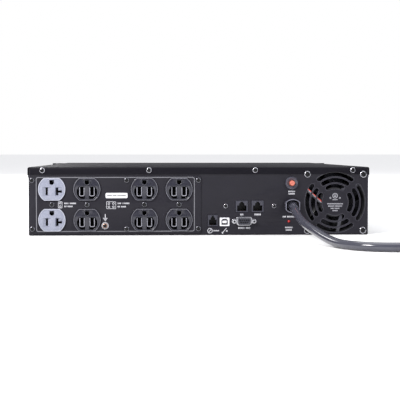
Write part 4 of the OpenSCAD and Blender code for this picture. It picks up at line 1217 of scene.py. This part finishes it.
def strut_mesh(turn):
    """A bar from the fan's hub to its frame."""
    start, end = [Vector(arc(r, a + turn, a + turn, 1)[0]) for r, a in ((17.5, 60), (38.8, 36))]
    run = end - start
    bar = box_mesh((0, -2, -6.5), (run.length, 2, -3.7), bevel=0.5)
    bar.transform(shifted(UPRIGHT, *start) @ Matrix.Rotation(math.atan2(run.y, run.x), 4, "Z"))
    return bar


def make_fan():
    place = shifted(REAR, FAN_X, FAN_Z)
    part = Part("fan_housing")
    corners = [circle(2.2, sx * FAN_SCREW, sz * FAN_SCREW, 16) for sx in (-1, 1) for sz in (-1, 1)]
    for bottom, top in ((-26.2, -22.6), (-4.8, -1.2)):
        flange = sheet_mesh([rounded(80, 80, 4), circle(38, steps=72), *corners], bottom, top, bevel=0.3)
        if top > -10:
            flange = carve(flange, box_mesh((-41, 14, -6.7), (-31, 24, 1)))
        part.add(flange, FAN, place)
    part.sheet([circle(39.5, steps=72), circle(38, steps=72)], -22.6, -6.7, FAN, place)
    hub = [(0, -8.5), (18.6, -8.5), (19, -8.1), (19, -4.2), (18.5, -3.7), (15.5, -3.7), (15.2, -3.9),
           (0, -3.9)]
    part.add(lathe_mesh(hub), FAN, place)
    # The struts take a lighter nylon than the frame: painted highlight.
    for turn in (0, 120, 240):
        part.add(strut_mesh(turn), STRUT_HIGHLIGHT, place)
    part.finish("fan_frame")


def blade_mesh(turn):
    """A twisted, cambered blade between the rotor's hub and its tip."""
    build = bmesh.new()
    across, out = 10, 7
    grid = []
    for face in (1, -1):
        for i in range(out + 1):
            s = i / out
            r = 16.8 + 19.6 * s
            row = []
            for j in range(across + 1):
                t = j / across
                sweep = math.radians(44 * t + 16 * s + turn)
                height = -10.4 - 12.4 * (1 - t) - 2.0 * math.sin(math.pi * t)
                thick = 0.75 * (1 - 0.4 * s) * math.sqrt(max(0.02, 4 * t * (1 - t)))
                row.append(build.verts.new((r * math.cos(sweep) * MM, r * math.sin(sweep) * MM,
                                            (height + face * thick) * MM)))
            grid.append(row)
    upper, lower = grid[:out + 1], grid[out + 1:]
    for rows in (upper, lower):
        for a, b in zip(rows, rows[1:]):
            for j in range(across):
                build.faces.new((a[j], a[j + 1], b[j + 1], b[j]))
    edge = [upper[0], [row[-1] for row in upper], upper[-1][::-1], [row[0] for row in upper[::-1]]]
    twin = [lower[0], [row[-1] for row in lower], lower[-1][::-1], [row[0] for row in lower[::-1]]]
    for one, other in zip(edge, twin):
        for j in range(len(one) - 1):
            build.faces.new((one[j], other[j], other[j + 1], one[j + 1]))
    return closed(build)


def make_rotor():
    place = shifted(REAR, FAN_X, FAN_Z)
    part = Part("fan_impeller", "fan_rotor")
    hub = [(0, -25.3), (16.8, -25.3), (17.5, -24.6), (17.5, -9.6), (17.1, -9.15), (0, -9.15)]
    part.add(lathe_mesh(hub), ROTOR, place)
    part.add(lathe_mesh([(0, -9.2), (1.5, -9.2), (1.5, -6.4), (0, -6.4)], 16), TIN, place)
    for i in range(7):
        part.add(blade_mesh(i * 360 / 7), ROTOR, place)
    part.finish("fan_rotor")


def wire_piece(name, points, d, material):
    """A round wire through points, which are in metres."""
    curve = bpy.data.curves.new(name, "CURVE")
    curve.dimensions = "3D"
    curve.bevel_depth = d / 2 * MM
    curve.bevel_resolution = 3
    curve.use_fill_caps = True
    spline = curve.splines.new("BEZIER")
    spline.bezier_points.add(len(points) - 1)
    for knot, place in zip(spline.bezier_points, points):
        knot.co = place
        knot.handle_left_type = knot.handle_right_type = "AUTO"
    curve.materials.append(material)
    return link(bpy.data.objects.new(name, curve))


WIRE_D = 1.3
WIRE_ROUTE = [(-17, 1, -2.6), (-22, 5.6, -2.6), (-29, 12, -2.6), (-35, 17.8, -2.6), (-38.6, 21, -3),
              (-41.2, 22, -6), (-41.6, 22, -14), (-41.6, 20, -26), (-43, 8, -36), (-46, -12, -44),
              (-48.5, -29.6, -50)]


def make_fan_wires():
    place = shifted(REAR, FAN_X, FAN_Z)
    # The second lead is a real wire, painted pale grey as a highlight.
    for name, drop, material in (("fan_wire_red", 0, WIRE_RED), ("fan_lead_painted_highlight", -1.6, LEAD_HIGHLIGHT)):
        points = [place @ (Vector((x, y + drop, z)) * MM) for x, y, z in WIRE_ROUTE]
        piece = wire_piece(name, points, WIRE_D, material)
        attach(piece, CHASSIS)
    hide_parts("fan_leads")


make_chassis()
make_rear_panel()
make_cover()
make_outlet_plate()
make_outlets()
screws("case_screw_set", case_screw_places(CASE_SCREW[1]), CASE_SCREW, ZINC_BRIGHT, "case_screws")
screws("outlet_screw_set", rear_places("outlet_screws", OUTLET_SCREW[1]), OUTLET_SCREW, ZINC_BLACK,
       "outlet_screws")
screws("fan_screw_set", rear_places("fan_screws", FAN_BOLT[1]), FAN_BOLT, ZINC_BRIGHT, "fan_screws")
for jack_node, jack_w, jack_wires in JACKS:
    make_jack(jack_node, jack_w, jack_wires)
make_usb()
make_serial()
make_light()
make_breaker()
gland = make_gland()
make_fan()
make_rotor()
make_fan_wires()

# ---------------------------------------------------------------- printing

INK_T = 0.05
PLATE_MIDDLE = (-106.2, 39.4)
GROUND_MARK = (-119.3, 24.4)
CUT_OFF_MARK = (13.2, 5.6)
# Stand-ins for words: x, z, the widths of the words, and their height.
PORT_WORDS = [(53.7, 26.1, (4.2,), 2.2), (73.9, 26.1, (8.4,), 2.2), (56.7, 9.0, (8.6, 6.0), 2.2)]
POWER_WORDS = [(117.3, 55.4, (8.8,), 1.9), (117.3, 52.4, (8.2,), 1.9), (113.4, 23.2, (4.4, 9.6), 2.1),
               (113.8, 9.4, (9.6,), 1.9), (113.8, 6.2, (8.0,), 1.9)]


def ink(part, outlines, material, base=0.0):
    """Print on the rear panel, or on the plate when base is its thickness."""
    part.sheet(outlines, base - 0.1, base + INK_T, material)


def row(part, x, z, words, tall, material, base=0.0, left=False):
    """A row of plain blocks in groups of the given widths, about x or from it."""
    gap = tall * 0.55
    place = x if left else x - (sum(words) + gap * (len(words) - 1)) / 2
    for width in words:
        count = max(1, round(width / (tall * 0.75)))
        pitch = width / count
        for i in range(count):
            centre = place + (i + 0.5) * pitch
            ink(part, [rounded(pitch * 0.64, tall, tall * 0.15, centre, z, steps=2)], material, base)
        place += width + gap


def make_plate_print():
    part = Part("plate_print")
    line = [rounded(200, 69.2, 3, *PLATE_MIDDLE), rounded(198, 67.2, 2.2, *PLATE_MIDDLE)]
    ink(part, line, INK_GREY, PLATE_T)
    frames = ((-111.8, 38.4, 12, 9.3, (-2.8, 2.8), (-2.1, 2.1)), (-175.8, 39, 5.2, 8.5, (0,), (-2.1, 2.1)))
    for x, z, w, h, columns, rows in frames:
        ink(part, [rounded(w, h, 1, x, z), rounded(w - 0.9, h - 0.9, 0.7, x, z)], INK_PALE, PLATE_T)
        for dx in columns:
            for dz in rows:
                socket = [circle(radius, x + dx, z + dz, 20) for radius in (1.35, 0.85)]
                ink(part, socket, INK_PALE, PLATE_T)
    for x, first, second in ((-103.9, 40.7, 36.5), (-171.0, 40.8, 37.0)):
        row(part, x, first, (4.6, 0.9, 7.6), 1.9, INK_PALE, PLATE_T, left=True)
        row(part, x, second, (3.2, 6.6), 1.9, INK_PALE, PLATE_T, left=True)
    ink(part, [rounded(0.9, 5.4, 0.3, *GROUND_MARK)], INK_PALE, PLATE_T)
    for drop, width in ((0, 5.6), (1.5, 3.6), (3.0, 1.6)):
        ink(part, [rounded(width, 0.8, 0.3, GROUND_MARK[0], 21.8 - drop)], INK_PALE, PLATE_T)
    part.finish()


def make_panel_print():
    part = Part("panel_print")
    for x, z, words, tall in PORT_WORDS:
        row(part, x, z, words, tall, INK_PALE)
    ink(part, [circle(radius, *CUT_OFF_MARK, 32) for radius in (3.3, 2.6)], INK_PALE)
    ink(part, [turned_bar(*CUT_OFF_MARK, 4.4, 0.7, 45)], INK_PALE)
    row(part, 21.2, 5.6, (7.4,), 1.7, INK_PALE)
    ink(part, [turned_bar(31.8, 6.0, 7.6, 0.7, 50)], INK_PALE)
    ink(part, [circle(1.1, 29.2, 3.0, 16), rounded(1.8, 1.8, 0.2, 34.6, 5.2)], INK_PALE)
    for x, z, words, tall in POWER_WORDS:
        row(part, x, z, words, tall, INK_PALE)
    ink(part, [circle(radius, FAN_X, FAN_Z + 8.4, 32) for radius in (3.4, 2.7)], INK_DIM)
    for lift in (9.3, 7.5):
        ink(part, [rounded(3.4, 0.8, 0.3, FAN_X, FAN_Z + lift)], INK_DIM)
    for dx in (-1, 1):
        ink(part, [circle(radius, FAN_X + dx * 6.0, FAN_Z + 5.6, 16) for radius in (1.1, 0.6)], INK_DIM)
    row(part, FAN_X, FAN_Z + 3.4, (6.6,), 1.2, INK_DIM)
    for drop, words in ((0, (20.5,)), (2.9, (8.4, 9.0)), (5.8, (4.0, 6.4)), (8.7, (6.8,))):
        row(part, FAN_X, FAN_Z - 1.9 - drop, words, 1.5, INK_DIM)
    part.finish()


def turned_bar(x, z, length, wide, degrees):
    return moved(turned(rounded(length, wide, wide * 0.4), degrees), x, z)


def make_bank_label():
    place = shifted(REAR, *spot("bank_label"))
    w, _, h = size_of("bank_label")
    top = REAR_Y - low("bank_label")[1]
    part = Part("bank_badge")
    part.sheet([rounded(w, h, 1.4)], PLATE_T, top - 0.05, LABEL, place, bevel=0.08)
    x = -12.0
    for width in (6.2, 5.2, 11.0):
        bar = rounded(width, 1.25, 0.4, x + width / 2, 0.2, steps=3)
        part.sheet([bar], top - 0.1, top, INK_BLACK, place)
        x += width + 0.7
    part.finish("bank_label")


def make_ground_screw():
    place = shifted(REAR, *spot("ground_screw"), PLATE_T)
    part = Part("ground_stud")
    washer = [(4.7, 0), (4.7, 0.55), (4.45, 0.9), (3.2, 0.9), (2.2, 0.7), (2.2, 0)]
    part.add(ring_mesh(washer), TIN, place)
    # The second mesh is the head's near-black crown: painted shade.
    for mesh, look in zip(screw_meshes(*GROUND_STUD), (GROUND_BRASS, SCREW_PAINTED_SHADE)):
        part.add(mesh, look, shifted(place, 0, 0, 0.9))
    part.finish("ground_screw")


def make_comm_screws():
    part = Part("comm_screw_set")
    for a, b in islands("comm_screws"):
        if REAR_Y - a[1] > 1:
            place = shifted(REAR, (a[0] + b[0]) / 2, (a[2] + b[2]) / 2)
            # The second mesh is the head's near-black crown: painted shade.
            for mesh, look in zip(screw_meshes(*COMM_SCREW), (ZINC_BRIGHT, SCREW_PAINTED_SHADE)):
                part.add(mesh, look, place)
            spacer = [(2.6, -16), (2.6, -1.2), (1.45, -1.2), (1.45, -16)]
            part.add(ring_mesh(spacer, 24), ZINC_BRIGHT, place)
    part.finish("comm_screws")


# ---------------------------------------------------------------- inside and front


def dress(node, material, width):
    """Finishes a CAD node where it stands: material, and round edges."""
    piece = NODES[node]
    piece.data.materials.clear()
    piece.data.materials.append(material)
    if width:
        weld = piece.modifiers.new("weld", "WELD")
        weld.merge_threshold = 1e-6
        flat = piece.modifiers.new("flat", "DECIMATE")
        flat.decimate_type = "DISSOLVE"
        flat.angle_limit = math.radians(1.5)
        edge = piece.modifiers.new("edge", "BEVEL")
        edge.width = width * MM
        edge.segments = 2
        edge.limit_method = "ANGLE"
        edge.angle_limit = math.radians(35)


def make_capacitors():
    part = Part("capacitor_cans")
    for a, b in islands("capacitors"):
        r = (b[0] - a[0]) / 2
        tall = b[2] - a[2]
        can = [(0, 0), (r - 0.4, 0), (r, 0.4), (r, 2.6), (r - 0.5, 3.2), (r - 0.5, 3.8), (r, 4.4),
               (r, tall - 1.6), (r - 0.4, tall - 1.0), (r - 1.3, tall - 0.8)]
        place = shifted(UPRIGHT, (a[0] + b[0]) / 2, (a[1] + b[1]) / 2, a[2])
        part.add(lathe_mesh(can + [(0, tall - 0.8)]), SLEEVE, place)
        top = [(0, tall - 0.9), (r - 1.4, tall - 0.9), (r - 1.5, tall - 0.2), (r - 2.2, tall), (0, tall)]
        score = cross_cutter(r * 0.62, 0.7, tall - 0.3, tall + 1)
        part.add(carve(lathe_mesh(top), score), TIN, place)
    part.finish("capacitors")


def make_coil():
    """The transformer's winding: a rounded bobbin with its tape wrap."""
    w, d, tall = size_of("transformer_coil")
    inner = (w - 43.2, size_of("transformer_core")[1])
    place = shifted(UPRIGHT, *middle("transformer_coil")[:2], low("transformer_coil")[2])
    part = Part("transformer_winding")
    for bottom, top, grow in ((0, 2, 0), (tall - 2, tall, 0), (2, tall - 2, 1.2)):
        outline = rounded(w - 2 * grow, d - 2 * grow, 12)
        hole = rounded(inner[0] + 0.4, inner[1] + 0.4, 1)
        part.sheet([outline, hole], bottom, top, TAPE if grow else BLACK, place, bevel=0.4)
    part.finish("transformer_coil")


def make_heat_sinks():
    part = Part("heat_sink_pair")
    for a, b in islands("heat_sinks"):
        tall = b[2] - a[2]
        deep = b[0] - a[0]
        outline = [(0, 0), (deep, 0), (deep, 1.7)]
        for i in range(1, 7):
            z = i * (tall - 2) / 6
            outline += [(4, z - (tall - 2) / 6 + 2), (4, z), (deep - 0.3, z + 0.1), (deep, z + 0.4),
                        (deep, z + 1.6), (deep - 0.3, z + 1.9)]
        outline += [(0, tall)]
        upright = Matrix(((1, 0, 0, a[0] * MM), (0, 0, 1, a[1] * MM), (0, 1, 0, a[2] * MM), (0, 0, 0, 1)))
        part.sheet([outline], 0, b[1] - a[1], ALUMINIUM, upright)
    part.finish("heat_sinks")


def front_place(node):
    """The front frame at a node."""
    x, z = spot(node)
    return shifted(FRONT, -x, z)


def make_buttons():
    """The front buttons: round-edged caps, and a foot behind the bezel."""
    for node in ("power_button", "display_button", "mute_button"):
        place = front_place(node)
        top = high(node)[1] - FRONT_Y
        bottom = low(node)[1] - FRONT_Y
        part = Part(node + "_cap", node)
        if node == "power_button":
            cap, foot = circle(7, steps=64), circle(8.4, steps=48)
        else:
            cap, foot = rounded(18, 7, 3.4, steps=10), rounded(21, 10, 4)
        part.sheet([cap], top - 4.3, top, BUTTON, place, bevel=0.7, steps=4)
        part.sheet([foot], top - 6, top - 4, BUTTON, place, bevel=0.2)
        part.sheet([circle(2, steps=24)], bottom, top - 5.9, BUTTON, place, bevel=0.2)
        if node == "power_button":
            mark = [*arc(3.0, 125, 415, 30), *arc(2.4, 415, 125, 30)]
            part.sheet([mark], top - 0.4, top, INK_PALE, place)
            part.sheet([rounded(0.7, 3.2, 0.3, 0, 2.2)], top - 0.4, top, INK_PALE, place)
        part.finish(node)


def make_display():
    """The display: a black window over a dim panel, with a frame of its own."""
    place = front_place("display_module")
    top = high("display_module")[1] - FRONT_Y
    part = Part("display_window")
    part.sheet([rounded(57.6, 29.6, 0.8), rounded(50, 22.4, 0.8)], top - 4.2, top, BEZEL, place,
               bevel=0.25)
    part.sheet([rounded(50.2, 22.6, 0.8)], top - 4.2, top - 0.5, GLASS, place, bevel=0.1)
    part.sheet([rounded(64, 36, 1)], top - 11.2, top - 4.2, BLACK, place, bevel=0.3)
    part.finish("display_module")


make_plate_print()
make_panel_print()
make_bank_label()
make_ground_screw()
make_comm_screws()
make_capacitors()
make_coil()
make_heat_sinks()
make_buttons()
make_display()
tie = make_tie()
plug = make_plug()
for node, material, width in (
        ("front_wall", STEEL, 0.2), ("bay_wall", STEEL, 0.2), ("battery_tray", STEEL, 0.2),
        ("transformer_core", CORE, 0.6), ("relays", RELAY, 0.5), ("main_board", BOARD, 0.2),
        ("comm_board", BOARD, 0.2), ("control_board", BOARD, 0.2), ("batteries_rear", BATTERY, 1.2),
        ("batteries_front", BATTERY, 1.2), ("battery_terminals", TIN, 0.1), ("battery_leads", WIRE_SET, 0),
        ("battery_plug", PACK_PLUG, 1.0), ("bay_socket", PACK_PLUG, 1.0), ("battery_cover", BEZEL, 0.6),
        ("front_bezel", BEZEL, 0.6), ("rack_ear_left", CASE, 0.3), ("rack_ear_right", CASE, 0.3),
        ("outlet_contacts", COPPER, 0.1), ("plug_blades", GROUND_BRASS, 0.3)):
    dress(node, material, width)
